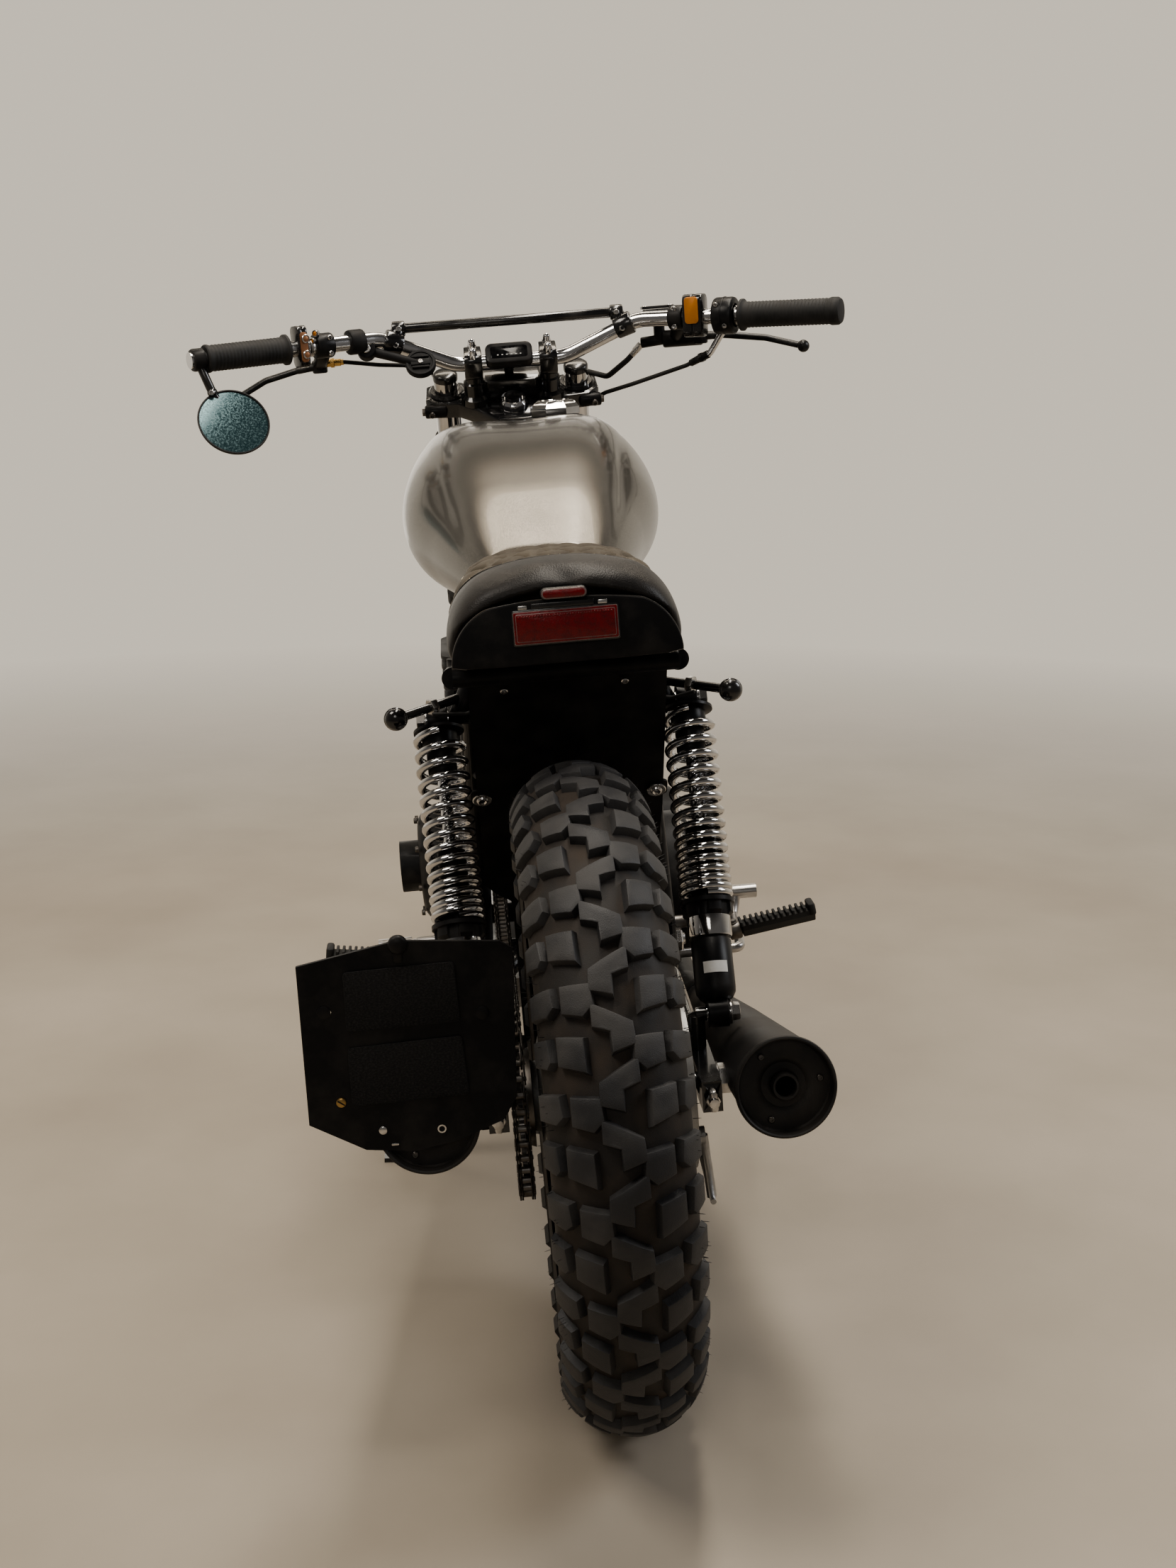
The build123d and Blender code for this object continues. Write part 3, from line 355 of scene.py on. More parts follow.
def lathe(profile, at, way, sides=48, loop=False, six=(), flats=6):
    """Rows hold a height along way and a radius; those listed in six get six flat sides, or flats."""
    high, r = np.array(profile, float).T
    cos, sin = circle(sides)
    spread = np.ones((len(r), sides))
    facet = (np.arange(sides) / sides * flats + 0.5) % 1 - 0.5
    spread[list(six)] = np.cos(np.pi / flats) / np.cos(facet * 2 * np.pi / flats)
    wide = r[:, None] * spread
    local = np.stack([wide * cos, wide * sin, np.repeat(high[:, None], sides, 1)], -1)
    return skin(local @ axes(way) + at, loop)


# %% Skins along a path
def tube(path, r, sides=16, flat=1.0):
    """Round skin of radius r along a path; flat squeezes it along the path's own plane normal."""
    path = np.asarray(path, float)
    way = unit(np.gradient(path, axis=0))
    normal = np.linalg.svd(way, full_matrices=False)[2][-1]
    side = unit(np.cross(way, normal))
    up = np.cross(side, way) * flat
    cos, sin = circle(sides)
    r = np.broadcast_to(r, len(path))[:, None, None]
    return skin(path[:, None] + r * (cos[:, None] * side[:, None] + sin[:, None] * up[:, None]))


def route(corners, bend, step):
    """Points along straight runs whose inner corners are arcs of the bend radius."""
    corners = np.asarray(corners, float)
    runs = [corners[:1]]
    for before, corner, after in zip(corners, corners[1:], corners[2:]):
        back, on = unit(before - corner), unit(after - corner)
        half = np.arccos(np.clip(back @ on, -1, 1)) / 2
        centre = corner + unit(back + on) * bend / np.sin(half)
        reach = bend / np.tan(half)
        first, last = corner + back * reach - centre, corner + on * reach - centre
        sweep = np.pi - 2 * half
        share = np.linspace(0, 1, max(3, int(bend * sweep / step) + 2))[:, None]
        runs.append(centre + (np.sin((1 - share) * sweep) * first
                              + np.sin(share * sweep) * last) / np.sin(sweep))
    runs.append(corners[-1:])
    return np.concatenate(runs)


# %% Outlines and plates
def rounded(outline, bend):
    """Closed outline with its corners rounded."""
    outline = np.asarray(outline, float)
    middle = (outline[:1] + outline[-1:]) / 2
    return route(np.concatenate([middle, outline, middle]), bend, 2.0)[:-1]


def round_box(width, height, bend):
    """Rectangle about the origin with rounded corners, as a closed outline."""
    turn = np.linspace(0, np.pi / 2, 5) + np.arange(4)[:, None] * np.pi / 2
    corner = np.array([(1, 1), (-1, 1), (-1, -1), (1, -1)]) * (width / 2 - bend, height / 2 - bend)
    return (corner[:, None] + bend * np.stack([np.cos(turn), np.sin(turn)], -1)).reshape(-1, 2)


def inset(outline, gap):
    """Closed outline drawn in by a gap: each point moves along its two edges' mitre."""
    edge = unit(np.roll(outline, -1, 0) - outline)
    x, y = outline.T
    hand = np.sign(np.sum(x * np.roll(y, -1) - y * np.roll(x, -1)))
    normal = hand * np.stack([-edge[:, 1], edge[:, 0]], -1)
    both = normal + np.roll(normal, 1, 0)
    return outline + 2 * gap * both / np.sum(both ** 2, -1, keepdims=True)


def prism(outline, thick, at, way, side=(0, 0, 1), edge=0.8):
    """Plate of an outline, half its thickness each way along way, its rims rounded off by edge."""
    outline, half = np.asarray(outline, float), thick / 2
    rims = ((1, half), (0.3, half - edge * 0.3), (0, half - edge))
    rows = [(share, -z) for share, z in rims] + list(rims[::-1])
    rings = [np.column_stack([inset(outline, share * edge), np.full(len(outline), z)]) for share, z in rows]
    return skin(np.stack(rings) @ axes(way, side) + at)


def block(size, at, way=(0, 0, 1), side=(1, 0, 0), bend=3.0, edge=0.8):
    """Box of three sizes (along side, across, along way) with rounded corners and rims."""
    return prism(round_box(size[0], size[1], bend), size[2], at, way, side, edge)


# %% Bars, balls and screws
def rod(a, b, r, end=0.8, sides=24):
    """Straight round bar with rounded ends; r may be two radii."""
    a, b = np.asarray(a, float), np.asarray(b, float)
    first, last = np.broadcast_to(r, 2)
    length = np.linalg.norm(b - a)
    rows = [(0, 0), (0, first - end), (end * 0.3, first - end * 0.3), (end, first), (length - end, last),
            (length - end * 0.3, last - end * 0.3), (length, last - end), (length, 0)]
    return lathe(rows, a, b - a, sides)


def ball(at, r, way=(0, 0, 1), flat=1.0, sides=32):
    """Ball, squeezed along way by flat."""
    turn = np.linspace(0, np.pi, sides // 2 + 1)
    return lathe(np.stack([-r * flat * np.cos(turn), r * np.sin(turn)], -1), at, way, sides)


def screw(at, way, r, high, kind="socket"):
    """Screw head standing on a face: socket = round with a six-sided recess, hex = six-sided on a washer."""
    rows = [(-0.5, 0), (-0.5, r), (high - 0.8, r), (high, r - 0.8), (high, r * 0.58), (high * 0.35, r * 0.55),
            (high * 0.35, 0)]
    if kind == "hex":
        rows = [(-0.5, 0), (-0.5, r * 1.25), (1.0, r * 1.25), (1.2, r * 1.12), (1.2, r), (high - 0.7, r),
                (high, r * 0.86), (high, 0)]
    return lathe(rows, at, way, 24, six=(4, 5))


# %% Curves through table rows
def spring_rows(rows, x):
    """Values between table rows by a curve through them: each row's slope comes from its neighbours."""
    rows = np.asarray(rows, float)
    knots, values = rows[:, 0], rows[:, 1:]
    slope = np.gradient(values, knots, axis=0)
    i = np.clip(np.searchsorted(knots, x) - 1, 0, len(knots) - 2)
    gap = (knots[i + 1] - knots[i])[:, None]
    t = (np.asarray(x) - knots[i])[:, None] / gap
    a, b = values[i], values[i + 1]
    return (a * (2 * t ** 3 - 3 * t ** 2 + 1) + b * (3 * t ** 2 - 2 * t ** 3)
            + gap * (slope[i] * (t ** 3 - 2 * t ** 2 + t) + slope[i + 1] * (t ** 3 - t ** 2)))


# %% [markdown]
# One function turns shapes into a finished piece. It parks the points, merges doubles, turns
# every face outwards, marks edges over an angle as sharp, and lets the piece ride on its body.


# %% From shapes to a piece
DOUBLE = 1e-6
SHARP = 35.0


def finished(name, mesh, body, replaces, angle):
    """Object for a mesh: doubles merged, faces outwards, smooth but for edges over the angle."""
    work = bmesh.new()
    work.from_mesh(mesh)
    bmesh.ops.remove_doubles(work, verts=work.verts, dist=DOUBLE)
    bmesh.ops.recalc_face_normals(work, faces=work.faces)
    work.to_mesh(mesh)
    work.free()
    mesh.polygons.foreach_set("use_smooth", np.ones(len(mesh.polygons), bool))
    mesh.set_sharp_from_angle(angle=np.radians(angle))
    piece = shown(name, mesh)
    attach(piece, body)
    if replaces:
        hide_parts(*replaces)
    print(name, "on", body, len(mesh.polygons), "faces")
    return piece


# %% Shapes grouped by finish
def make(name, body, groups, replaces=(), angle=SHARP):
    """Piece from shapes grouped by finish, in upright millimetres."""
    mesh = bpy.data.meshes.new(name)
    points, corners, sizes, paints, count = [], [], [], [], 0
    for index, (finish, shapes) in enumerate(groups.items()):
        mesh.materials.append(finishes[finish])
        for shape_points, faces in shapes:
            points.append(shape_points)
            for face in faces:
                corners.append((face + count).ravel())
                sizes.append(np.full(len(face), face.shape[1]))
                paints.append(np.full(len(face), index))
            count += len(shape_points)
    sizes = np.concatenate(sizes)
    mesh.vertices.add(count)
    mesh.vertices.foreach_set("co", parked(np.concatenate(points)).ravel())
    mesh.loops.add(int(sizes.sum()))
    mesh.loops.foreach_set("vertex_index", np.concatenate(corners))
    mesh.polygons.add(len(sizes))
    mesh.polygons.foreach_set("loop_start", np.cumsum(sizes) - sizes)
    mesh.polygons.foreach_set("material_index", np.concatenate(paints))
    mesh.update(calc_edges=True)
    slots = [finish_slot[finish] for finish in groups if finish in finish_slot]
    return finished(name, mesh, body, replaces, angle)


# %% Copies of the solids
def dressed(node, finish):
    """Copy of a CAD solid in its place: triangles merged and flat faces joined."""
    mesh = frame["nodes"][node].data.copy()
    mesh.name = node + "_skin"
    mesh.materials.clear()
    mesh.materials.append(finishes[finish])
    work = bmesh.new()
    work.from_mesh(mesh)
    bmesh.ops.remove_doubles(work, verts=work.verts, dist=DOUBLE)
    bmesh.ops.dissolve_limit(work, angle_limit=np.radians(1), verts=work.verts, edges=work.edges)
    work.to_mesh(mesh)
    work.free()
    return finished(node + "_skin", mesh, node_body[node], (node,), SHARP)


# %% [markdown]
# The rear tyre fills the foreground, so its blocks are real geometry. A block tyre is a round
# carcass with rubber blocks standing on its crown, each with a drafted side and a worn rim.
# The blocks could be cut from a thick ring, but a table of outlines is shorter: an outline is
# given across (as a share of the half width) and along (in pitches), laid flat in millimetres,
# and then bent over the crown's arc and round the wheel. The middle row alternates two mirrored
# hooks, and the rows beside it alternate a near and a far block, half a turn of the pattern
# apart on the two sides.

# %% Block tyres
PITCHES = 42
DEEP = 9.0
WORN_EDGE, WORN = 1.2, 0.25
HAIRS, HAIR_SEED = PITCHES * 8, 7
HOOK = ((-0.27, -0.49), (0.25, -0.10), (0.27, 0.29), (-0.04, 0.42), (-0.05, 0.05), (-0.27, -0.06))
BESIDE = (((-0.62, -0.90), (-0.24, -0.84), (-0.22, -0.45), (-0.36, -0.26), (-0.62, -0.38)),
          ((-0.72, 0.00), (-0.38, 0.10), (-0.37, 0.72), (-0.72, 0.54)))
SHOULDER = (((-0.99, -0.98), (-0.74, -0.94), (-0.71, -0.55), (-0.80, -0.40), (-0.99, -0.48)),
            ((-0.99, -0.04), (-0.83, 0.00), (-0.80, 0.44), (-0.85, 0.56), (-0.99, 0.46)))


def tyre_block(outline, side, turns, radius, width, crown):
    """Rings of one outline at every turn: foot, rim and top, bent over the crown and round the axle."""
    half = width / 2
    arc = (half ** 2 + crown ** 2) / (2 * crown)
    pitch = 2 * np.pi * radius / PITCHES
    edge = np.asarray(outline, float) * (side * half, pitch)
    share = np.linspace(0, 1, 3, endpoint=False)[:, None, None]
    edge = (edge * (1 - share) + np.roll(edge, -1, 0) * share).transpose(1, 0, 2).reshape(-1, 2)
    middle = edge.mean(0)
    rim = inset(edge, 1.3)
    flat = np.stack([inset(edge, -1.4), edge, inset(edge, 0.45), rim, (rim + middle) / 2,
                     np.repeat(middle[None], len(edge), 0)])
    deep = np.array([DEEP, 1.3, 0.35, 0, 0, 0])[:, None]
    lean = np.arcsin(np.clip(flat[..., 0] / arc, -0.99, 0.99))
    deep = deep * (1 - WORN * (lean / WORN_EDGE) ** 2)
    out = radius - arc + (arc - deep) * np.cos(lean)
    angle = flat[..., 1] / radius + np.asarray(turns)[:, None, None] * 2 * np.pi / PITCHES
    return np.stack([-out * np.sin(angle), np.broadcast_to((arc - deep) * np.sin(lean), angle.shape),
                     out * np.cos(angle)], -1)


# %% Carcass, blocks and hairs
def block_tyre(name, body, node, axle, radius, width, crown, wall, first):
    """Carcass spun about the axle, blocks on it, and fine rubber hairs at the shoulders."""
    half, rim = width / 2, radius - wall
    arc = (half ** 2 + crown ** 2) / (2 * crown)
    lean = np.linspace(-1.17, 1.17, 25)
    sunk = arc - DEEP * (1 - WORN * (lean / WORN_EDGE) ** 2)
    top = np.stack([sunk * np.sin(lean), radius - arc + sunk * np.cos(lean)], -1)
    y, z = top[-1]
    flank = np.array([(y + 2.2, z - 8), (y + 3.0, z - 16), (y + 1.8, z - 17), (y + 1.6, z - 25),
                      (y - 1, z - 32), (y - 5, (z + rim) / 2 + 2), (half * 0.74, rim + 16),
                      (half * 0.68, rim + 9), (half * 0.62, rim + 7), (half * 0.56, rim),
                      (half * 0.3, rim - 3)])
    flank = flank[flank[:, 1] < z - 2]
    loop = np.concatenate([top, flank, flank[::-1] * (-1, 1)])
    carcass = lathe(loop, axle, (0, 1, 0), 168, loop=True)
    blocks = []
    for side in SIDES:
        turns = first + (0 if side == 1 else 1) + np.arange(0, PITCHES, 2)
        for outline in (HOOK, *BESIDE, *SHOULDER):
            for rings in tyre_block(outline, -side, turns, radius, width, crown) + axle:
                blocks.append(skin(rings))
    draw = np.random.default_rng(HAIR_SEED)
    lean = draw.choice([-1, 1], HAIRS) * draw.uniform(0.98, 1.22, HAIRS)
    angle = draw.uniform(0, 2 * np.pi, HAIRS)
    angle = angle[np.cos(angle) > -0.93]
    lean = lean[:len(angle)]
    length = draw.uniform(2.5, 5.5, len(angle))
    cos, sin = circle(3)
    hairs = []
    for share, thick in ((-0.5, 0.5), (0.5, 0.4), (1, 0.12)):
        tip = arc - 1 + share * length
        out, y = radius - arc + tip * np.cos(lean), tip * np.sin(lean)
        ring = angle[:, None] + thick * cos / radius
        hairs.append(np.stack([-out[:, None] * np.sin(ring), y[:, None] + thick * sin,
                               out[:, None] * np.cos(ring)], -1))
    for rings in np.stack(hairs, 1) + axle:
        blocks.append(skin(rings))
    print(len(blocks), "blocks and hairs")
    make(name, body, {"tyre_rubber": blocks, "tyre_groove": [carcass]}, (node,), angle=28)


# %% The two tyres
block_tyre("rear_block_tyre", "rear_wheel_set", "rear_tyre", (0, 0, REAR_R), REAR_R + 0.8, 139, 51, 95, 0.85)
block_tyre("front_block_tyre", "front_wheel_set", "front_tyre", (WHEELBASE, 0, FRONT_R),
           FRONT_R + 0.8, 104, 39, 81, 0.3)

# %% [markdown]
# The wheels are wire wheels: a rolled rim, thirty-six crossed spokes with nipples, and a hub
# with two flanges. A spoke is one straight bar from its flange to the rim, with a round head and
# a nipple. Its flange and its slant follow from its number, so no spoke is placed by hand.


# %% Wire wheels
SPOKES = 36
CROSSED = 0.44


def wire_wheel(name, body, node, axle, rim, rim_width, hub, flanges):
    """Rim spun from its rolled section, spokes from flange to rim in crossed pairs, hub spun from rows."""
    half = rim_width / 2
    right_half = np.array([(-half, rim + 6), (-half - 2, rim + 4), (-half, rim - 1), (-half + 4, rim - 3),
                           (-half + 5, rim - 15), (-half * 0.5, rim - 20), (0, rim - 22)])
    inside = np.array([(0, rim - 19), (-half * 0.5, rim - 16), (-half + 8, rim - 12), (-half + 7, rim),
                       (-half + 3, rim + 5)])
    left_half = right_half[-2::-1] * (-1, 1)
    loop = np.concatenate([right_half, left_half, inside[::-1][:-1] * (-1, 1), inside])
    rim_skin = lathe(loop, axle, (0, 1, 0), 120, loop=True)
    spokes, nipples = [], []
    for i in range(SPOKES):
        angle = i * 2 * np.pi / SPOKES
        y, r = flanges[i % 2]
        crossed = angle + (CROSSED if i % 4 < 2 else -CROSSED)
        on_hub = np.array([(r - 4) * np.cos(crossed), y, (r - 4) * np.sin(crossed)])
        on_rim = np.array([(rim - 20) * np.cos(angle), y * 0.14, (rim - 20) * np.sin(angle)])
        way = unit(on_rim - on_hub)
        spokes.append(rod(on_hub + axle, on_rim + axle, 1.7, 0.3, 8))
        spokes.append(ball(on_hub + axle, 3.2, (0, 1, 0), 0.6, 10))
        nipples.append(rod(on_rim - way * 13 + axle, on_rim + axle, 3.2, 0.6, 8))
    hub_skin = lathe(hub, axle, (0, 1, 0), 72)
    make(name, body, {"satin_black": [rim_skin], "steel_bolt": spokes, "brushed_steel": nipples,
                      "cast_alloy": [hub_skin]}, (node,), angle=40)


# %% The two wheels
wire_wheel("rear_wire_wheel", "rear_wheel_set", "rear_wheel", (0, 0, REAR_R), 238, 74,
           [(-76, 10), (-76, 78), (-72, 88), (-46, 88), (-40, 70), (-34, 40), (0, 32), (36, 36), (42, 58),
            (48, 60), (60, 60), (62, 54), (64, 36), (70, 34), (70, 10)],
           ((-58, 84), (54, 58)))
wire_wheel("front_wire_wheel", "front_wheel_set", "front_wheel", (WHEELBASE, 0, FRONT_R), 250, 62,
           [(-70, 9.5), (-70, 24), (-42, 26), (-40, 44), (-31, 44), (-28, 28), (0, 24), (28, 28), (30, 44),
            (38, 44), (42, 26), (70, 24), (70, 9.5)],
           ((-36, 42), (34, 42)))

# %% [markdown]
# Chain and sprocket: a roller chain is two kinds of link in turn, with a pin and a roller at
# every joint. The chain's run is the line round both sprockets, measured by its length, so the
# links are spread along it evenly. Each link is a pair of thin plates turned to the run.

# %% Chain and sprocket
CHAIN_Y = 84
SPROCKET_R, DRIVE_R = 94.5, 46.5
DRIVE = np.array([505, 372])
TEETH = 37
CHAIN_PITCH = 15.875
rear_centre = np.array([0, REAR_R])
apart = DRIVE - rear_centre
tilt = np.arctan2(apart[1], apart[0])
touch = np.arccos((SPROCKET_R - DRIVE_R) / np.linalg.norm(apart))
round_rear = np.linspace(tilt + touch, tilt - touch + 2 * np.pi, 120)
round_drive = np.linspace(tilt - touch, tilt + touch, 60)
run = np.concatenate([rear_centre + SPROCKET_R * np.stack([np.cos(round_rear), np.sin(round_rear)], -1),
                      DRIVE + DRIVE_R * np.stack([np.cos(round_drive), np.sin(round_drive)], -1)])
run = np.concatenate([run, run[:1]])
length = np.concatenate([[0], np.cumsum(np.linalg.norm(np.diff(run, axis=0), axis=1))])
LINKS = 2 * round(length[-1] / CHAIN_PITCH / 2)
places = np.linspace(0, length[-1], LINKS + 1)
joint_at = np.stack([np.interp(places, length, run[:, k]) for k in (0, 1)], -1)
turn = np.linspace(0, np.pi, 7)
PLATE_LINK = np.concatenate([np.stack([7.9 + 6.6 * np.sin(turn), 6.6 * np.cos(turn)], -1), [(0, -4.6)],
                             np.stack([-7.9 - 6.6 * np.sin(turn), -6.6 * np.cos(turn)], -1), [(0, 4.6)]])
plates, rollers = [], []
for i in range(LINKS):
    a, b = joint_at[i], joint_at[i + 1]
    middle, way = (a + b) / 2, unit(b - a)
    out = 7.0 if i % 2 else 4.9
    for side in SIDES:
        at = (middle[0], CHAIN_Y + side * out, middle[1])
        plates.append(prism(PLATE_LINK, 1.8, at, (0, 1, 0), (way[0], 0, way[1]), 0.4))
    rollers.append(lathe([(-8.6, 0), (-8.6, 2.2), (-4, 2.2), (-4, 3.6), (4, 3.6), (4, 2.2), (8.6, 2.2),
                          (8.6, 0)], (a[0], CHAIN_Y, a[1]), (0, 1, 0), 10))
make("roller_chain", "chassis", {"chain_steel": plates, "dark_steel": rollers}, ("chain",), angle=40)
# %% Sprocket
tooth = np.arange(TEETH * 6) / 6
radius = 87.5 + 3.0 * np.clip(1.3 * np.cos(2 * np.pi * tooth), -1, 1)
ring = np.stack([radius * np.cos(2 * np.pi * tooth / TEETH), radius * np.sin(2 * np.pi * tooth / TEETH)], -1)
wheel_face = lathe([(81, 12), (81, 46), (70.5, 50), (70.5, 12)], (0, 0, REAR_R), (0, 1, 0), 72, loop=True)
teeth = [(ring, 81.4), (ring, 86.2), (ring * 0.83, 87), (ring * 0.83, 81)]
band = np.stack([np.stack([points[:, 0], np.full(len(points), y), points[:, 1] + REAR_R], -1)
                 for points, y in teeth])
arms = []
for i in range(6):
    angle = i * np.pi / 3 + np.pi / 6
    way = np.array([np.cos(angle), 0, np.sin(angle)])
    arms.append(prism(((-14, 32), (14, 32), (9, 52), (15, 75), (-15, 75), (-9, 52)), 5.6,
                      (0, CHAIN_Y, REAR_R),
                      (0, 1, 0), np.cross((0, 1, 0), way), 0.6))
    arms.append(screw(way * 42 + (0, 81, REAR_R), (0, 1, 0), 7, 7, "hex"))
make("toothed_sprocket", "rear_wheel_set", {"dark_steel": [skin(band, loop=True), wheel_face, *arms]},
     ("rear_sprocket",), angle=30)
print("chain", LINKS, "links,", round(length[-1]), "mm")

# %% [markdown]
# Shock absorbers: on each side a chrome coil with fifteen turns, wound closer at its lower end,
# round a black damper with a castellated collar. The coil could be a screw modifier, but a
# path whose height is a curve of the turn count gives the closing pitch directly.

# %% Springs and dampers
SHOCK_TOP, SHOCK_LOW = np.array([216, 134, 683]), np.array([41, 127, 388])
COIL_TURNS, COIL_R, WIRE_R = 15, 24.1, 4.4
BUNCH = 0.45
CASTLE = 96
coils, black, bright, caps, labels = [], [], [], [], []
for side in SIDES:
    top, low = SHOCK_TOP * (1, side, 1), SHOCK_LOW * (1, side, 1)
    way = unit(top - low)
    reach = np.linalg.norm(top - low)
    foot, head = 122.0, reach - 19.0
    share = np.linspace(0, 1, COIL_TURNS * 28)
    turn = share * COIL_TURNS * 2 * np.pi
    rise = foot + (head - foot) * (share ** (1 + BUNCH) * 0.72 + share * 0.28)
    own = axes(way)
    coils.append(tube(np.stack([COIL_R * np.cos(turn), COIL_R * np.sin(turn), rise], -1) @ own + low, WIRE_R,
                      14))
    black.append(lathe([(10, 0), (10, 12), (14, 17), (20, 20.5), (26, 21), (74, 21), (76, 19.5), (80, 19.5),
                        (82, 0)], low, way))
    bright.append(lathe([(78, 0), (78, 22), (80, 23), (100, 23), (101, 22), (101, 0)], low, way))
    notch = np.where(np.arange(CASTLE) % 16 < 9, 1.0, 0.9)
    cos, sin = circle(CASTLE)
    rows = np.array([(99, 0), (99, 23), (103, 26.5), (112, 26.5), (113, 28.6), (117.4, 28.6), (117.4, 0)])
    wide = rows[:, 1:] * np.where(rows[:, 1:] == 26.5, notch, 1)
    ring = np.stack([wide * cos, wide * sin, np.repeat(rows[:, :1], CASTLE, 1)], -1)
    black += [skin(ring @ own + low),
              lathe([(117, 0), (117, 15), (reach - 148, 15), (reach - 146, 12), (reach - 146, 0)], low, way)]
    bright.append(lathe([(reach - 150, 0), (reach - 150, 6.8), (reach - 30, 6.8), (reach - 30, 0)], low, way))
    black += [lathe([(-62, 0), (-62, 14), (-60, 15.5), (-36, 15.5), (-36, 0)], top, way),
              lathe([(-34, 0), (-34, 18), (-32, 19), (-24, 19), (-17, 19), (-15, 27), (-12, 27), (-9, 13),
                     (-9, 0)],
                    top, way)]
    y = (0, side, 0)
    for eye in (top, low):
        black.append(lathe([(-11, 8.2), (-11, 14), (-10, 15), (10, 15), (11, 14), (11, 8.2)], eye, y,
                           loop=True))
        bright.append(lathe([(-12, 7.2), (-12, 8.4), (12, 8.4), (12, 7.2)], eye, y, 32, loop=True))
        caps.append(lathe([(12, 0), (12, 13), (13.5, 13), (14, 12), (14, 10), (22, 9), (22.5, 8), (22.5, 0)],
                          eye, y, 24, six=(4, 5, 6)))
    out = unit(np.cross(np.cross(way, (-1, 0, -0.2)), way))
    bend = np.linspace(-0.62, 0.62, 9)[:, None]
    curl = np.cos(bend) * out + np.sin(bend) * np.cross(way, out)
    strip = np.concatenate([21.25 * curl, 21.0 * curl[::-1]])
    labels.append(skin(low + np.array([38, 50])[:, None, None] * way + strip))
make("chrome_coils", "chassis", {"chrome": coils}, ("springs",), angle=60)
make("damper_bodies", "chassis",
     {"satin_black": black, "chrome": bright, "steel_bolt": caps, "blank_label": labels}, ("shocks",),
     angle=40)

# %% [markdown]
# Exhaust: each silencer is a rolled cone with a turned-in rim, a dished end plate set a little
# way in, and a short outlet pipe. It is one profile spun about the cone's axis, from the front
# joint over the rim to the bore. The header pipes are round skins along bent routes.

# %% Silencers and header pipes
cans, headers, studs = [], [], []
for side in SIDES:
    start = np.array([430, side * 150, 262])
    end = np.array([-95, side * 173, REAR_R + 23])
    reach = np.linalg.norm(end - start)
    rim = [(-12, 47.6), (-10, 49), (-3, 50.4), (0, 49.6), (0.6, 48), (-0.5, 46.6), (-3, 46), (-12, 45.6),
           (-14, 44),
           (-13, 30), (-13.5, 26), (-16, 22), (-16, 15.4), (-15, 14), (-4, 13.2), (-2.5, 12.6), (-2.5, 10.6),
           (-5, 9.8), (-60, 9.6), (-60, 0)]
    cone = [(0, 0), (0, 21), (2, 22.5), (30, 23), (34, 24.5), (40, 24), (reach * 0.5, 36.6)]
    cans.append(lathe(cone + [(reach + z, r) for z, r in rim], start, end - start, 96))
    joint = start - (end - start) * 0.2
    way = route([(792, side * 62, 655), (884, side * 62, 655), (896, side * 142, 300), (830, side * 146, 236),
                 tuple(joint), tuple(start)], 45, 6)
    headers.append(tube(way, 19, 32))
    headers.append(rod(start + unit(end - start) * 2, start + unit(end - start) * 26, 25.5, 2, 48))
    studs.append(rod((790, side * 62, 655), (800, side * 62, 655), 30, 2, 48))
    for lift in (1, -1):
        studs.append(screw((800, side * 62, 655 + lift * 25), (1, 0, 0), 4.5, 7, "hex"))
    studs.append(screw(start + np.array([-14, side * 26, 0]), (0, side, 0), 4, 6, "hex"))
    for angle in (0.6, 2.7, 4.8):
        spot = axes(end - start)
        out = np.cos(angle) * spot[0] + np.sin(angle) * spot[1]
        studs.append(screw(end - spot[2] * 13 + out * 36, spot[2], 3.2, 2.4))
make("megaphones", "chassis", {"exhaust_black": cans}, ("silencers",), angle=30)
make("header_pipes", "chassis", {"exhaust_black": headers, "dark_steel": studs}, ("exhaust_pipes",), angle=40)

# %% [markdown]
# Fuel tank: on the real machine it is two pressed halves welded along a seam, ground back to
# bare steel and lacquered. Its shape is a loft: a few measured sections, a smooth curve through
# each measure, and an arc through three points for each flank and for the top. Near the front,
# averaging neighbours along a section turns its crease into the soft ridge that the press leaves.


# %% Sections through three-point arcs
FLANK_POINTS, CROWN_POINTS = 22, 41


def arcs(a, b, c, count):
    """Points of the circle arcs from a through b to c, one arc a row, anticlockwise."""
    (ax, ay), (bx, by), (cx, cy) = a.T, b.T, c.T
    twice = 2 * (ax * (by - cy) + bx * (cy - ay) + cx * (ay - by))
    a2, b2, c2 = (np.sum(point ** 2, -1) for point in (a, b, c))
    ux = (a2 * (by - cy) + b2 * (cy - ay) + c2 * (ay - by)) / twice
    uy = (a2 * (cx - bx) + b2 * (ax - cx) + c2 * (bx - ax)) / twice
    first = np.arctan2(ay - uy, ax - ux)
    sweep = (np.arctan2(cy - uy, cx - ux) - first) % (2 * np.pi)
    angle = first[:, None] + sweep[:, None] * np.linspace(0, 1, count)
    r = np.hypot(ax - ux, ay - uy)[:, None]
    return np.stack([ux[:, None] + r * np.cos(angle), uy[:, None] + r * np.sin(angle)], -1)


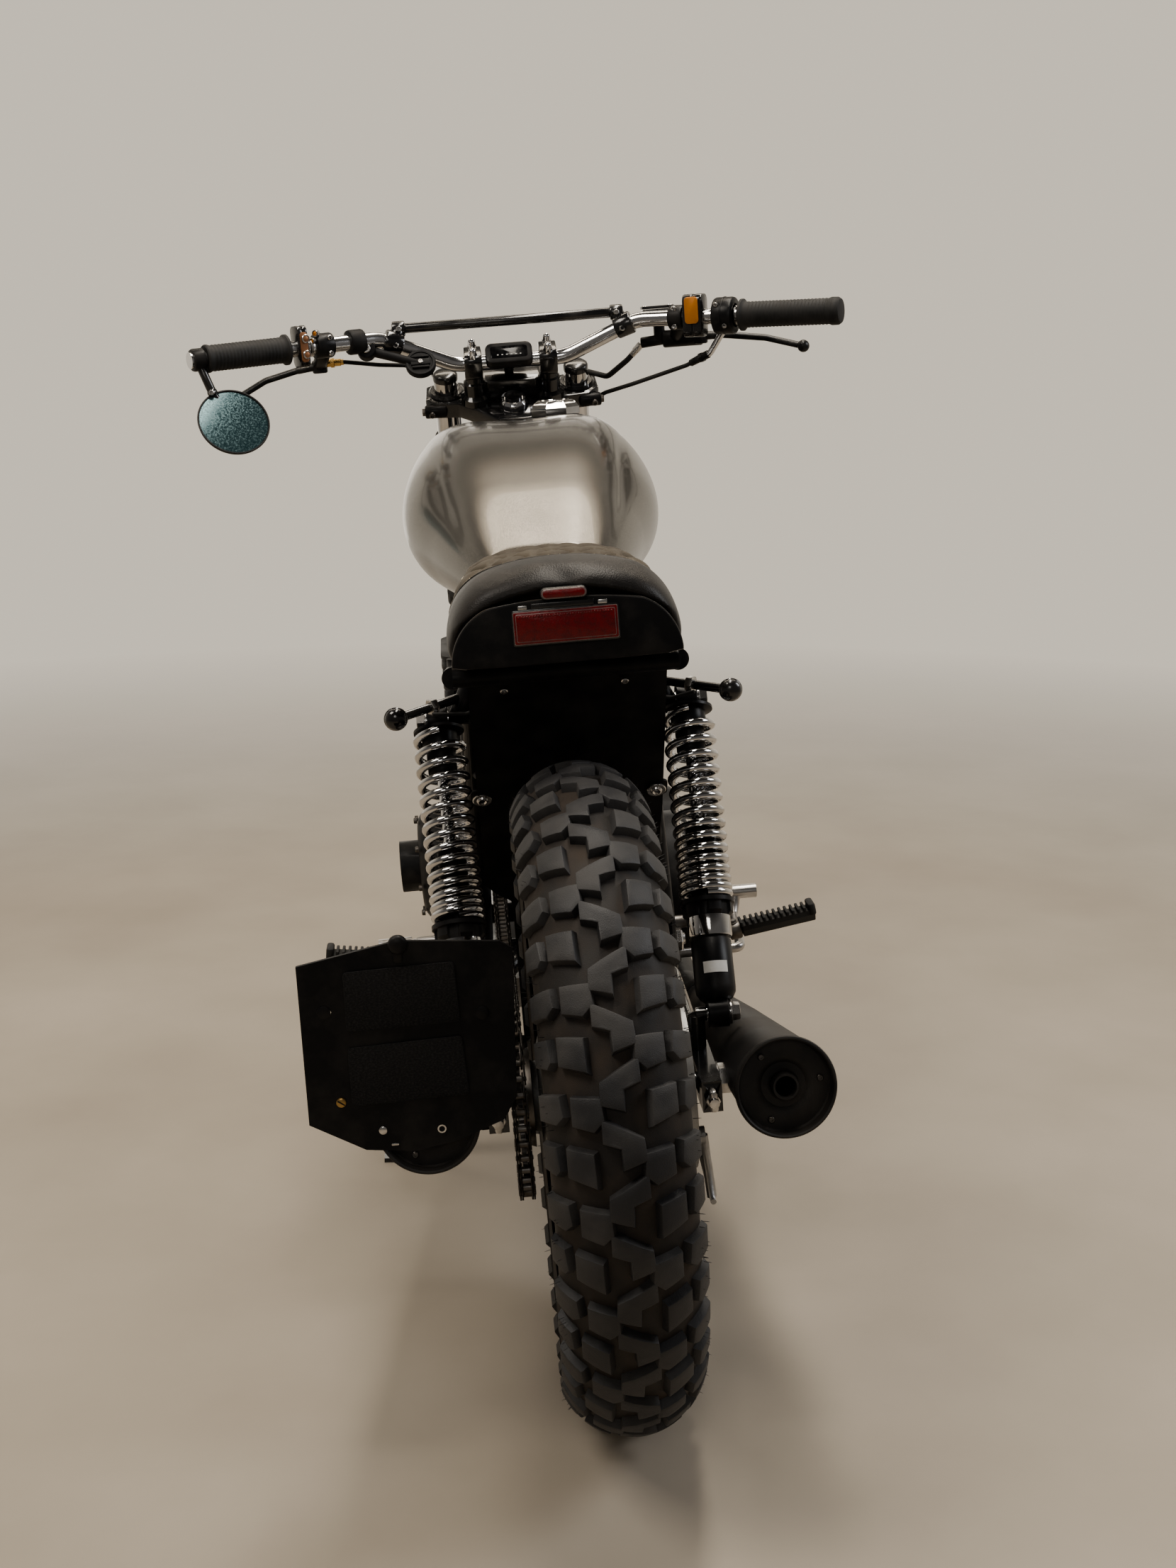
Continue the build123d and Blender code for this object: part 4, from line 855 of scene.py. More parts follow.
def shell_sections(base, low, wide, mid, edge, edge_z, top, bottom, soft, flat=0.0):
    """Closed sections (rows, points, 2): flank arc, crowned top, other flank, then the given bottom points.

    flat levels the crown between its middle and its crease, soft counts the averaging rounds.
    """
    foot, flank, crease = (np.stack(pair, -1) for pair in ((base, low), (wide, mid), (edge, edge_z)))
    side = arcs(foot, flank, crease, FLANK_POINTS)
    crown = arcs(crease, np.stack([0 * top, top], -1), crease * (-1, 1), CROWN_POINTS)
    out = (crown[..., 0] / edge[:, None]) ** 2
    crown[..., 1] += flat * (top - edge_z)[:, None] * (out - out * out)
    outline = np.concatenate([side, crown[:, 1:-1], side[:, ::-1] * (-1, 1), bottom], 1)
    for _ in range(soft):
        outline = (np.roll(outline, 1, 1) + 2 * outline + np.roll(outline, -1, 1)) / 4
    return outline


def nose(x, low, high, bend):
    """Share of the full section near both ends: a quarter circle of the bend radius."""
    near = np.clip(np.minimum(x - low, high - x) / bend, 0, 1)
    return 1 - np.sqrt(np.maximum(0, 1 - (1 - near) ** 2))


def stations(x, outline):
    """Sections stood at their places along the machine, as rings of points."""
    return np.concatenate([np.broadcast_to(x[:, None, None], outline[..., :1].shape), outline], -1)


def middles(low, top):
    """Middle of each section, from which its points are pushed out or drawn in."""
    return np.stack([0 * top, (top + low) / 2], -1)[:, None]


# %% Fuel tank
TANK_REAR, TANK_FRONT, TUNNEL = 345.0, 931.6, 28
FULLER, FULL_AT = 13.0, 0.80
LEVELLED, MELLOW_FROM = 0.95, 0.68
CREASES = (FLANK_POINTS + 2, FLANK_POINTS + CROWN_POINTS - 5)
# Rows: share of the length, then base, low, wide, mid, edge, edge_z and top above the spine
TANK_ROWS = ((0, 72, 30, 80, 54, 68, 68, 86), (0.094, 84, 14, 97, 42, 84, 74, 98),
             (0.264, 102, -8, 126, 40, 104, 84, 120), (0.468, 126, -31, 157, 44, 116, 102, 137),
             (0.673, 130, -52, 160, 36, 120, 96, 128), (0.877, 108, -59, 134, 8, 106, 66, 91),
             (1, 62, -36, 78, 0, 58, 34, 48))
share = np.linspace(0, 1, 121)
tank_x = TANK_REAR + share * (TANK_FRONT - TANK_REAR)
spine = 772 + (tank_x - 440) * 0.2078
base, low, wide, mid, edge, edge_z, top = spring_rows(TANK_ROWS, share).T
roof = np.maximum(low, 24.0)
ones = np.ones_like(low)
half_way = 0.5 * (base + TUNNEL)
steps = [(-half_way, low), (-TUNNEL * ones, low), (-TUNNEL * ones, roof), (0 * ones, roof),
         (TUNNEL * ones, roof), (TUNNEL * ones, low), (half_way, low)]
bottom = np.stack([np.stack(step, -1) for step in steps], 1)
crisp, mellow = (shell_sections(base, low, wide, mid, edge, edge_z, top, bottom, soft,
                                LEVELLED) for soft in (0, 60))
front = np.clip((share - MELLOW_FROM) / 0.22, 0, 1)[:, None, None]
front = front * front * (3 - 2 * front)
outline = crisp * (1 - front) + mellow * front
outline[:, -len(steps):] = crisp[:, -len(steps):]
place = np.arange(outline.shape[1])
from_crease = np.min([np.abs(place - crease) for crease in CREASES], 0)[None, :, None]
fuller = FULLER * np.exp(-((share - FULL_AT) / 0.2) ** 2)[:, None, None] * np.exp(-(from_crease / 9.0) ** 2)
drawn = nose(tank_x, TANK_REAR, TANK_FRONT, 14.0)[:, None, None] * 11
outline += unit(outline - middles(low, top)) * (fuller - drawn)
rings = stations(tank_x, outline)
rings[..., 2] += spine[:, None]
# %% Bare steel for the tank
brushed = Paint("brushed_tank", (0.18, 0.17, 0.16), 0.3, 1.0, 0.25, 0.05)
streaks = brushed.noise(brushed.place((18, 900, 900)), 1.0, 3.0)
cloud = brushed.noise(brushed.place((6, 9, 9)), 1.0, 4.0)
mottle = brushed.between(streaks * 0.5 + cloud * 0.5, 0.35, 0.65)
brushed.feed("Base Color", brushed.blend(mottle, (0.21, 0.20, 0.185), (0.145, 0.138, 0.127)))
brushed.feed("Roughness", 0.18 + cloud * 0.08 + streaks * 0.05)
brushed.bump(streaks, 0.05, 0.0004)
finishes["brushed_tank"] = brushed.material
make("steel_tank", "chassis", {"brushed_tank": [skin(rings)]}, ("fuel_tank",), angle=28)
print("tank", len(rings), "sections")

# %% Fuel cap: a neck, a chrome lid with eight flats, and a sunk black middle
cap_at = np.array([847.7, -50, 961.0])
up = (0, 0, 1)
lid = lathe([(-26, 0), (-26, 19.5), (-2, 19.5), (-1.5, 31), (0, 34), (3, 35.5), (11, 35.2), (16, 31.5),
             (20, 27), (20.6, 24), (19.4, 22.6), (15, 22), (15, 0)], cap_at, up, 96, six=(3, 4, 5, 6, 7, 8),
            flats=8)
well = lathe([(14, 0), (14, 21.8), (15.4, 21.4), (16, 20), (16, 12), (18.6, 11), (19, 10), (19, 0)], cap_at,
             up)
neck = lathe([(-4, 20), (-4, 37), (-2.6, 38), (-1.2, 37), (-1, 20)], cap_at, up, 64, loop=True)
make("faceted_cap", "chassis", {"chrome": [lid], "matt_plastic": [well, neck]}, ("fuel_cap",), angle=30)

# %% [markdown]
# Seat: foam on a board under leather, with a plain roll behind and a quilted panel in front.
# The cushion starts a little small from its sections, is remeshed into even cells and swollen by
# a cloth simulation, so its skin pulls in where the sections turn. The quilting is pressed in
# afterwards as a formula over the length and the width. The real seams sit on the result.

# %% Seat cushion
# Rows: place along the machine, then base, wide, mid, edge, edge_z and top
SEAT_ROWS = ((6, 115, 114, 800, 82, 842, 858), (40, 119, 118, 802, 86, 849, 866),
             (100, 116, 118, 800, 88, 845, 861), (190, 106, 112, 800, 86, 840, 853),
             (290, 94, 98, 798, 82, 832, 845), (344, 70, 74, 796, 62, 824, 834))
SEAT_LOW, SEAM_X = 769.0, 112.0
VOXEL, SHRINK, CAP, CLOTH_FRAMES = 5.0, 2.5, 4.0, 20
seat_x = np.linspace(8, 341, 68)
base, wide, mid, edge, edge_z, top = spring_rows(SEAT_ROWS, seat_x).T
low = np.full_like(base, SEAT_LOW)
bottom = np.stack([base[:, None] * np.linspace(-0.9, 0.9, 15), np.repeat(low[:, None], 15, 1)], -1)
outline = shell_sections(base, low, wide, mid, edge, edge_z, top, bottom, 4)
outline -= unit(outline - middles(low, top)) * (SHRINK + nose(seat_x, 6, 344, 16.0)[:, None, None] * 13)


# %% Swelling the cushion
def applied(piece):
    """Mesh of a piece with its modifiers worked in."""
    return bpy.data.meshes.new_from_object(piece.evaluated_get(bpy.context.evaluated_depsgraph_get()))


def points_of(mesh, what="vertices", key="co"):
    """Vertex points or normals as an array."""
    values = np.empty(len(mesh.vertices) * 3)
    getattr(mesh, what).foreach_get(key, values)
    return values.reshape(-1, 3)


def swollen(rings):
    """Closed skin remeshed into voxels and swollen by cloth pressure, no point moving over the cap."""
    points, faces = skin(rings)
    mesh = bpy.data.meshes.new("cushion_start")
    mesh.from_pydata((points / 1000).tolist(), [],
                     [list(map(int, face)) for group in faces for face in group])
    pad = shown("cushion_start", mesh)
    voxels = pad.modifiers.new("voxels", "REMESH")
    voxels.mode, voxels.voxel_size = "VOXEL", VOXEL / 1000
    pad.data = applied(pad)
    pad.modifiers.clear()
    start = points_of(pad.data)
    cloth = pad.modifiers.new("cloth", "CLOTH").settings
    cloth.quality, cloth.mass, cloth.use_pressure, cloth.uniform_pressure_force = 5, 0.3, True, 4.0
    cloth.effector_weights.gravity = 0
    for frame_number in range(1, CLOTH_FRAMES + 1):
        bpy.context.scene.frame_set(frame_number)
    after = points_of(applied(pad))
    pad.modifiers.clear()
    bpy.context.scene.frame_set(1)
    moved = after - start
    far = np.linalg.norm(moved, axis=1, keepdims=True)
    start = start + moved * np.minimum(1, CAP / 1000 / np.maximum(far, 1e-9))
    pad.data.vertices.foreach_set("co", start.ravel())
    pad.data.update()
    print("cushion swelled by", round(float(far.max() * 1000), 1), "mm before the cap")
    even = pad.modifiers.new("even", "SMOOTH")
    even.factor, even.iterations = 0.5, 14
    split = pad.modifiers.new("split", "SUBSURF")
    split.levels = split.render_levels = 1
    mesh = applied(pad)
    bpy.data.objects.remove(pad)
    return mesh


# %% Quilting
seat_mesh = swollen(stations(seat_x, outline))
spot, face_way = points_of(seat_mesh) * 1000, points_of(seat_mesh, "vertex_normals", "vector")
x, y, z = spot.T


def ramp(value, start, reach):
    """0 up to start, then straight up to 1 over the reach."""
    return np.clip((value - start) / reach, 0, 1)


# The quilt: two families of slanting lines, the panel puffed between them and sunk along them
QUILT_LONG, QUILT_WIDE, QUILT_ACROSS = 58.0, 46.0, 36.0
PUFF, SUNK, SEAM_DEEP = 7.0, 4.6, 3.4
RAISED, ROLL_BACK = 4.0, 13.0
round_way = y + np.sign(y) * np.clip(838 - z, 0, 40) * (np.abs(y) > 84)
along, across = (x - SEAM_X) / QUILT_LONG, round_way / QUILT_WIDE
to_line = np.min([np.abs((way + 0.5) % 1 - 0.5) for way in (along + across, along - across)],
                 0) * QUILT_ACROSS
on_panel = ramp(x, SEAM_X + 6, 8) * ramp(z, 792, 10)
puff = (1 - np.exp(-to_line / 5.5)) * PUFF - SUNK
seam = np.exp(-((x - SEAM_X) / 3.2) ** 2) * ramp(z, 775, 8)
spot += face_way * (puff * on_panel - SEAM_DEEP * seam)[:, None]
spot[:, 2] += RAISED * ramp(x, SEAM_X + 4, 60) * ramp(-x, -340, 40) * ramp(z, 800, 40)
# The rear roll bulges over the tail plate, outside an ellipse that stays clear of the lamps
past_plate = np.hypot(y / 110, (z - 772) / 65)
spot[:, 0] -= ROLL_BACK * ramp(past_plate, 1.03, 0.1) * ramp(-x, -44, 34) * ramp(z, 775, 15)
seat_mesh.vertices.foreach_set("co", parked(spot).ravel())
seat_mesh.update()

# %% Leather
leather = Paint("seat_leather_two", (0.016, 0.015, 0.015), 0.38, extra=SOFT_SHINE)
where = leather.place()
length_way = leather.node("ShaderNodeSeparateXYZ", inputs={0: where})
pebble = leather.node("ShaderNodeTexVoronoi", inputs={"Vector": where, "Scale": 620.0})
worn = leather.noise(where, 26.0, 6.0)
black = leather.blend(leather.between(worn, 0.4, 0.75), (0.017, 0.016, 0.016), (0.045, 0.040, 0.036))
tan = leather.blend(leather.between(worn, 0.35, 0.7), (0.085, 0.070, 0.050), (0.055, 0.044, 0.031))
seam_at = (SEAM_X + home[0]) / 1000
panel_share = leather.between(length_way, seam_at - 0.0004, seam_at + 0.0004)
leather.feed("Base Color", leather.blend(panel_share, black, tan))
leather.feed("Roughness", 0.34 + worn * 0.14 + panel_share * 0.06)
leather.bump(pebble, 0.28, 0.0006)
seat_mesh.materials.clear()
seat_mesh.materials.append(leather.material)
seat = finished("quilted_seat", seat_mesh, "chassis", ("seat",), 180)

# %% [markdown]
# Stitches: a seam is a row of short thread loops. Each lies on the skin where a ray from the
# middle of the section meets it, and one capsule of a few faces is copied to every place.


# %% Stitches on the seat
def thread(places, ways, ups, length, thick):
    """Capsules of a few faces: one at each place, along its way, standing on the skin by its up."""
    cos, sin = circle(6)
    rows = np.array([(-0.5, 0.3), (-0.32, 0.95), (0.32, 0.95), (0.5, 0.3)])
    side = unit(np.cross(ways, ups))
    rings = (places[:, None, None] + rows[:, None, :1] * length * ways[:, None, None]
             + rows[:, None, 1:] * thick
             * (cos[:, None] * side[:, None, None] + sin[:, None] * ups[:, None, None]))
    return [skin(ring) for ring in rings]


def on_seat(start, way):
    """Where rays meet the seat, and its outward direction there; rays that miss are dropped."""
    found = []
    for origin, aim in zip(parked(start), unit(way) @ lean_turn.T):
        hit, normal, _, _ = seat_tree.ray_cast(origin.tolist(), aim.tolist())
        if hit:
            found.append((*((np.array(hit) * 1000 - home) @ lean_turn), *(np.array(normal) @ lean_turn)))
    found = np.array(found)
    return found[:, :3], found[:, 3:]


# %% Rows of stitches
seat_tree = BVHTree.FromPolygons(parked(spot).tolist(), [tuple(face.vertices) for face in seat_mesh.polygons])
threads, dark_threads = [], []
angle = np.linspace(-0.12, np.pi + 0.12, 96)
fan = np.stack([0 * angle, np.cos(angle), np.sin(angle)], -1)
for gap in (-4.5, 4.5):
    hub = np.broadcast_to((SEAM_X + gap, 0, 800.0), fan.shape)
    place, up = on_seat(hub, fan)
    up = unit(up * np.sign(np.sum(up * (place - hub[:len(place)]), 1, keepdims=True)))
    dark_threads += thread(place + up * 0.3, unit(np.gradient(place, axis=0)), up, 4.0, 0.55)
for hand in SIDES:
    for number in range(-6, 9):
        run = np.arange(SEAM_X + 8, 338, 2.4)
        across = hand * (number - (run - SEAM_X) / QUILT_LONG) * QUILT_WIDE
        limit = np.interp(run, seat_x, edge) + 8
        run, across = run[np.abs(across) < limit], across[np.abs(across) < limit]
        if len(run) > 2:
            over = np.stack([run, across, np.full(len(run), 900.0)], -1)
            place, up = on_seat(over, np.tile((0, 0, -1.0), (len(run), 1)))
            threads += thread(place + up * 0.2, unit(np.gradient(place, axis=0)), unit(up), 3.4, 0.62)
make("seat_threads", "chassis", {"cream_thread": threads, "black_rubber": dark_threads}, angle=80)
print("stitches", len(threads) + len(dark_threads))

# %% [markdown]
# Tail: a black plate closes the seat's rear end. It carries a slim lamp over a rectangular
# reflector with a moulded double border, and the turn signals stand out on stalks below.

# %% Tail panel, lamps and signals
tail_rows = ((111, 772, 106, 798, 75, 829, 835), (111, 772, 106, 798, 75, 829, 835),
             (110, 773, 105, 798, 74, 828, 834), (108, 775, 103, 798, 72, 826, 832))
base, low, wide, mid, edge, edge_z, top = np.array(tail_rows, float).T
bottom = np.stack([np.stack([base * k, low], -1) for k in (-0.5, 0, 0.5)], 1)
outline = shell_sections(base, low, wide, mid, edge, edge_z, top, bottom, 1)
tail = stations(np.array([5.7, -4.4, -6.2, -6.6]), outline)
# The thin steel line round the plate's rear edge is a painted highlight: it stands for the light that the edge
# catches.
edge_highlight_line = np.column_stack([np.full(outline.shape[1], -4.8), inset(outline[1], 0.3)])[:-bottom.shape[1]]
make("tail_plate", "chassis", {"matt_plastic": [skin(tail)], "dark_steel": [tube(edge_highlight_line, 0.55, 8)]},
     ("tail_panel",), angle=40)

# %% Rear lamp, reflector and turn signals
back, across = (-1, 0, 0), (0, 1, 0)
red, clear, dark, bright = [], [], [], []
dark.append(prism(round_box(45, 11, 5.4), 20, (-5.5, 0, 840), back, across, 1.2))
clear.append(prism(round_box(43, 9.6, 4.7), 3, (-15.2, 0, 840), back, across, 1.0))
red.append(prism(round_box(40, 7.4, 3.6), 4, (-15.4, 0, 840), back, across, 1.2))
dark.append(prism(round_box(103, 35, 3), 4, (-9.5, 0, 809), back, across, 1.0))
for thick, across_by, tall, kept in ((7.0, 100, 32, clear), (7.4, 98.6, 30.6, red), (7.8, 95, 27, clear),
                                     (8.2, 93.8, 25.8, red)):
    kept.append(prism(round_box(across_by, tall, 1.6), thick, (-8.2, 0, 809), back, across, 0.5))
for y in np.linspace(-44, 44, 34):
    red.append(ball((-12.3, y, 819.6), 1.1, back, 0.5, 8))
for y in (40, -36):
    bright.append(block((9, 3, 4), (-10, y, 828.5), (0, 0, 1), across, 1.0, 0.5))
dark.append(block((60, 3, 5), (-9.6, 2, 829), (0, 0, 1), across, 1.0, 0.5))
for side in SIDES:
    root, ball_at = np.array([216, side * 104, 706.0]), np.array([165, side * 176, 698.0])
    reach = ball_at - root
    dark.append(tube([root, root + reach * 0.4, root + reach * 0.95], 5.0, 20))
    bright.append(lathe([(0, 0), (0, 8.4), (1, 9), (7, 9), (8, 8.4), (8, 0)], root + reach * 0.42, reach, 24,
                        six=(1, 2, 3, 4)))
    dark.append(lathe([(-9.5, 0), (-9, 6), (-6, 10.4), (-1.5, 12.4), (0, 12.6), (1.4, 12.4), (2.2, 11.6),
                       (2.2, 0)],
                      ball_at, back, 40))
    dark.append(ball(ball_at + (-2, 0, 0), 11.6, back, 0.72))
make("tail_lamps", "chassis",
     {"red_lens": red, "clear_edge": clear, "gloss_black": dark, "steel_bolt": bright},
     ("rear_lights",), angle=40)

# %% Inner mudguard: a rolled sheet with a rib down each edge, its screws, and two lamp leads
SHEET_R, SHEET_HALF, SHEET_TOP = 350, 85, 760
arc = np.radians(np.linspace(-21, 40, 31))
spoke = np.stack([np.cos(arc), np.sin(arc)], -1)
curve, end_way = spoke * SHEET_R, spoke[-1]
bend_at, up_way = curve[-1], np.array([-end_way[1], end_way[0]])
straight = np.linspace(0.06, 1, 20)[:, None] * up_way * (SHEET_TOP - REAR_R - bend_at[1]) / up_way[1]
curve = np.concatenate([curve, bend_at + straight])
out_way = np.concatenate([spoke, np.tile(end_way, (20, 1))])
section = np.array([(-85, -2.5), (-85, 3), (-82, 3), (-82, 0.6), (-60, 0.6), (-58, -1.2), (-50, -1.2),
                    (-48, 0.6),
                    (48, 0.6), (50, -1.2), (58, -1.2), (60, 0.6), (82, 0.6), (82, 3), (85, 3), (85, -2.5),
                    (60, -2.4), (-60, -2.4)])
depth = curve[:, None] + (section[:, 1] + 1.5)[None, :, None] * out_way[:, None]
narrow = np.interp(curve[:, 1], (105, 125), (70 / SHEET_HALF, 99 / SHEET_HALF))
right_wider = np.where(section[:, 0] < 0, np.interp(curve[:, 1], (125, 215), (1.0, 1.07))[:, None], 1.0)
rings = np.stack([depth[..., 0], narrow[:, None] * right_wider * section[:, 0], depth[..., 1] + REAR_R], -1)
sheets, washers = [skin(rings)], []
facing = np.array([-end_way[0], 0, -end_way[1]])
for side, spot_at in ((1, (250, 94, 585)), (-1, (250, -98, 579))):
    sheets.append(block((34, 26, 3), np.array(spot_at) + (2, -side * 4, 0), facing, across, 6, 0.6))
    sheets.append(rod((238, side * 80, 596), (306, side * 99, 600), 5))
    washers.append(lathe([(-1, 3), (-1, 10.6), (0.6, 10.8), (1.6, 10), (1.6, 6.6), (3.4, 5.6), (3.8, 4.4),
                          (2.6, 3),
                          (0, 3), (0, 0)], np.array(spot_at) + facing * 3.2, facing, 40, six=(7, 8)))
    washers.append(screw((120, side * 62, 727), facing, 4, 3))
right_lead = [(196, -92, 744), (190, -85, 727), (190, -84, 709), (190, -98, 694), (190, -116, 690),
              (178, -139, 697)]
left_lead = [(200, 62, 744), (190, 69, 716), (190, 82, 699), (190, 103, 692), (178, 138, 697)]
leads = [tube(route(lead, 9, 3), 2.0, 10) for lead in (right_lead, left_lead)]
make("inner_sheet", "chassis", {"matt_plastic": sheets, "steel_bolt": washers, "black_rubber": leads},
     ("inner_mudguard",))

# %% [markdown]
# Handlebar: a polished aluminium tube bent at two places a side and braced by a thin crossbar.
# Its route is written once as corner points; the bend radius turns them into arcs. Everything
# clamped on it is spun about the bar's own line, so a collar is a list of places and radii.

# %% Handlebar and crossbar
BAR_LOW, BAR_ELBOW, BAR_TIP = np.array([(0, 78, 0), (-27, 180, 43), (-161, 427, 35)], float)
BAR_R, OVER_BAR = 11, 10.9
bar_home = forked((-30, 0, 818))
SWEEP = np.linalg.norm(BAR_TIP - BAR_ELBOW) / (BAR_TIP[1] - BAR_ELBOW[1])


def barred(points):
    """Handlebar points (from midway between its clamps) to upright millimetres."""
    return np.asarray(points, float) + bar_home


def on_bar(y, out=0.0, up=0.0):
    """Point on the bar's outer run at a place y, shifted forward and up."""
    share = (abs(y) - BAR_ELBOW[1]) / (BAR_TIP[1] - BAR_ELBOW[1])
    x, _, z = BAR_ELBOW + (BAR_TIP - BAR_ELBOW) * share
    return barred((x + out, y, z + up))


def bar_way(side):
    """Direction of the outer run, away from the middle."""
    return unit(on_bar(side * 400) - on_bar(side * 300))


def rear_way(side):
    """Level direction square to the outer run, towards the rider."""
    return unit(np.cross(bar_way(side), (0, 0, 1))) * -side


def collar(side, rows, sides=48):
    """Shape spun about the bar: rows hold a distance from the middle and a radius."""
    rows = np.array(rows, float)
    start = rows[0, 0]
    rows = np.stack([(rows[:, 0] - start) * SWEEP, rows[:, 1]], -1)
    return lathe(rows, on_bar(side * start), bar_way(side), sides)


def clamp_rows(y0, y1, r, rim):
    """Rows of a collar with rounded rims over the bar."""
    return [(y0, OVER_BAR), (y0, r - rim), (y0 + rim * 0.3, r - rim * 0.3), (y0 + rim, r), (y1 - rim, r),
            (y1 - rim * 0.3, r - rim * 0.3), (y1, r - rim), (y1, OVER_BAR)]


# %% The bar and its brace
half_bar = np.array([BAR_LOW, BAR_ELBOW, BAR_TIP])
bar_path = route(barred(np.concatenate([half_bar[::-1] * (1, -1, 1), half_bar])), 60, 4)
make("bar_tube", "steering", {"polished_alloy": [tube(bar_path, BAR_R, 40)]}, ("handlebar",))
black, bright = [rod(barred((-17, -152, 55)), barred((-17, 152, 55)), 7, 1, 32)], []
for side in SIDES:
    eye = barred((-17, side * 152, 55))
    black += [rod(eye + (0, -side * 9, 0), eye + (0, side * 10, 0), 10.8, 2.5, 32),
              rod(eye, barred((-22, side * 161, 36)), (10.4, 12.5), 2, 28),
              rod(barred((-20, side * 150, 33)), barred((-26, side * 174, 41)), 16, 2.5, 48)]
    bright += [screw(eye + (-10.2, 0, 0), (-1, 0, 0), 4, 3.4),
               screw(barred((-35, side * 158, 33)), (-1, 0, 0), 4.2, 3.4),
               screw(barred((-33, side * 167, 47)), (-1, 0, 0.4), 3.4, 2.6)]
make("cross_brace", "steering", {"gloss_black": black, "steel_bolt": bright}, ("crossbar",), angle=40)

# %% Grips: moulded rubber with fine ribs between smooth flanges
grips = []
for side, first, last, flange in ((1, 309, 408, 20.5), (-1, 322, 434, 21.5)):
    y = np.arange(first + 4, last - 8, 1.1)
    ribs = np.stack([y, 16.9 + 0.6 * (np.arange(len(y)) % 4 < 2)], -1).tolist()
    inner = [(first - 6, OVER_BAR), (first - 6, flange - 2), (first - 5, flange), (first - 2, flange),
             (first, 18.4),
             (first + 2, 17.4)]
    outer = [(last - 6, 17.6), (last - 4, 18.6), (last - 1.5, 18.6), (last, 17.4), (last, OVER_BAR)]
    grips.append(collar(side, inner + ribs + outer, 56))
grips.append(collar(-1, [(430, 10), (430, 17), (433, 18.6), (438, 18.4), (441, 16), (442, 12), (442, 0)]))
make("bar_grips", "steering", {"black_rubber": grips}, ("grips",))

# %% [markdown]
# Controls: the left side has a switch block, the clutch lever and its cable; the right side has
# the throttle, a switch block with an orange face and the front brake's master cylinder. Levers
# are round skins squeezed a little flat, cables follow routes with rounded corners.


# %% Levers and switches
def lever(corners, fat, ball_r):
    """Cast lever along a route: thick at the hinge, slimmer to the tip, with a ball at its end."""
    way = route(barred(corners), 30, 3)
    share = np.linspace(0, 1, len(way))
    thick = fat + 1.6 * np.exp(-(share / 0.12) ** 2) - 0.4 * share
    return [tube(way, thick, 20, flat=0.8), ball(way[-1], ball_r, sides=24)]


def switch_block(side, y0, y1, tall):
    """Housing of two halves round the bar, with the parting line between them."""
    middle, way, long = on_bar(side * (y0 + y1) / 2, -4, 2), bar_way(side), (y1 - y0) * SWEEP
    return [prism(round_box(tall, 26, 9), long * 0.5 - 0.25, middle + way * share * long, way, (0, 0, 1), 1.4)
            for share in (-0.25, 0.25)]


def button(side, y, out, up, r, face):
    """Round push button on the housing's rear face: a ring and a domed face."""
    way = rear_way(side)
    at = on_bar(side * y, 0, up) + way * out
    face.append(lathe([(-2, 0), (-2, r), (2.2, r), (2.9, r * 0.7), (3.1, 0)], at, way, 32))
    return lathe([(-3, r + 1.6), (2.2, r + 1.6), (3, r + 0.9), (3, r), (1.5, r), (-3, r)], at, way, 32,
                 loop=True)


def ferrule(path, rows):
    """Six-sided cable fitting, spun about the start of a path."""
    return lathe(rows, path[0], path[1] - path[0], 36, six=(3, 4))


# %% Left controls
black, gloss, bright, bronze, gold = [], [], [], [], []
rear = rear_way(1)
gloss += switch_block(1, 279, 292, 56)
bronze.append(prism(round_box(40, 11, 4.5), 3, on_bar(285.5, -4, 1) + rear * 13, rear, (0, 0, 1), 0.8))
bright += [button(1, 285.5, 17.5, 12, 4.2, bronze), button(1, 285.5, 17.5, -9, 4.2, bronze),
           collar(1, clamp_rows(270.5, 276.5, 13.2, 1.2))]
bright += [screw(on_bar(252, 0, up) + rear * 12.5, rear, 3.6, 4) for up in (10, -11)]
hinge = barred((-28, 266, 14))
bright.append(screw(hinge + (0, 0, 7), (0, 0, 1), 5, 2.6))
cable = route(barred([(-30, 262, 16), (-33, 231, 16), (-12, 184, 8), (24, 150, 4), (84, 112, -10),
                      (112, 94, -60),
                      (128, 92, -100), (150, 84, -118), (182, 26, -136)]), 12, 4)
black += [collar(1, clamp_rows(245, 268, 17, 2.4)),
          block((24, 20, 20), on_bar(256, 9, -4), bar_way(1), (0, 0, 1), 5, 2),
          rod(on_bar(256, 4, -8), hinge, 10, 2.5),
          rod(hinge + (0, 0, -11), hinge + (0, 0, 7), 10.5, 2.5, 32),
          tube(cable, 3)]
gold.append(ferrule(cable,
                    [(6, 0), (6, 5.4), (12, 5.4), (12.4, 7.4), (17, 7.4), (17.4, 5), (26, 5), (26.4, 4),
                     (30, 4),
                            (30, 0)]))
grey = lever([(-26, 258, 15), (-33, 298, 9), (-48, 341, -1), (-68, 386, -24)], 5, 7)
make("left_hand_controls", "steering", {"satin_black": black, "gloss_black": gloss, "steel_bolt": bright,
                                        "button_bronze": bronze, "brass": gold, "lever_black": grey},
     ("left_controls",), angle=40)

# %% Right controls
black, gloss, bright, orange, hoses, shine = [], [], [], [], [], []
rear = rear_way(-1)
gloss += switch_block(-1, 244, 269, 58)
orange.append(prism(round_box(36, 20, 5), 3, on_bar(-256.5, -4, 9) + rear * 13, rear, (0, 0, 1), 0.8))
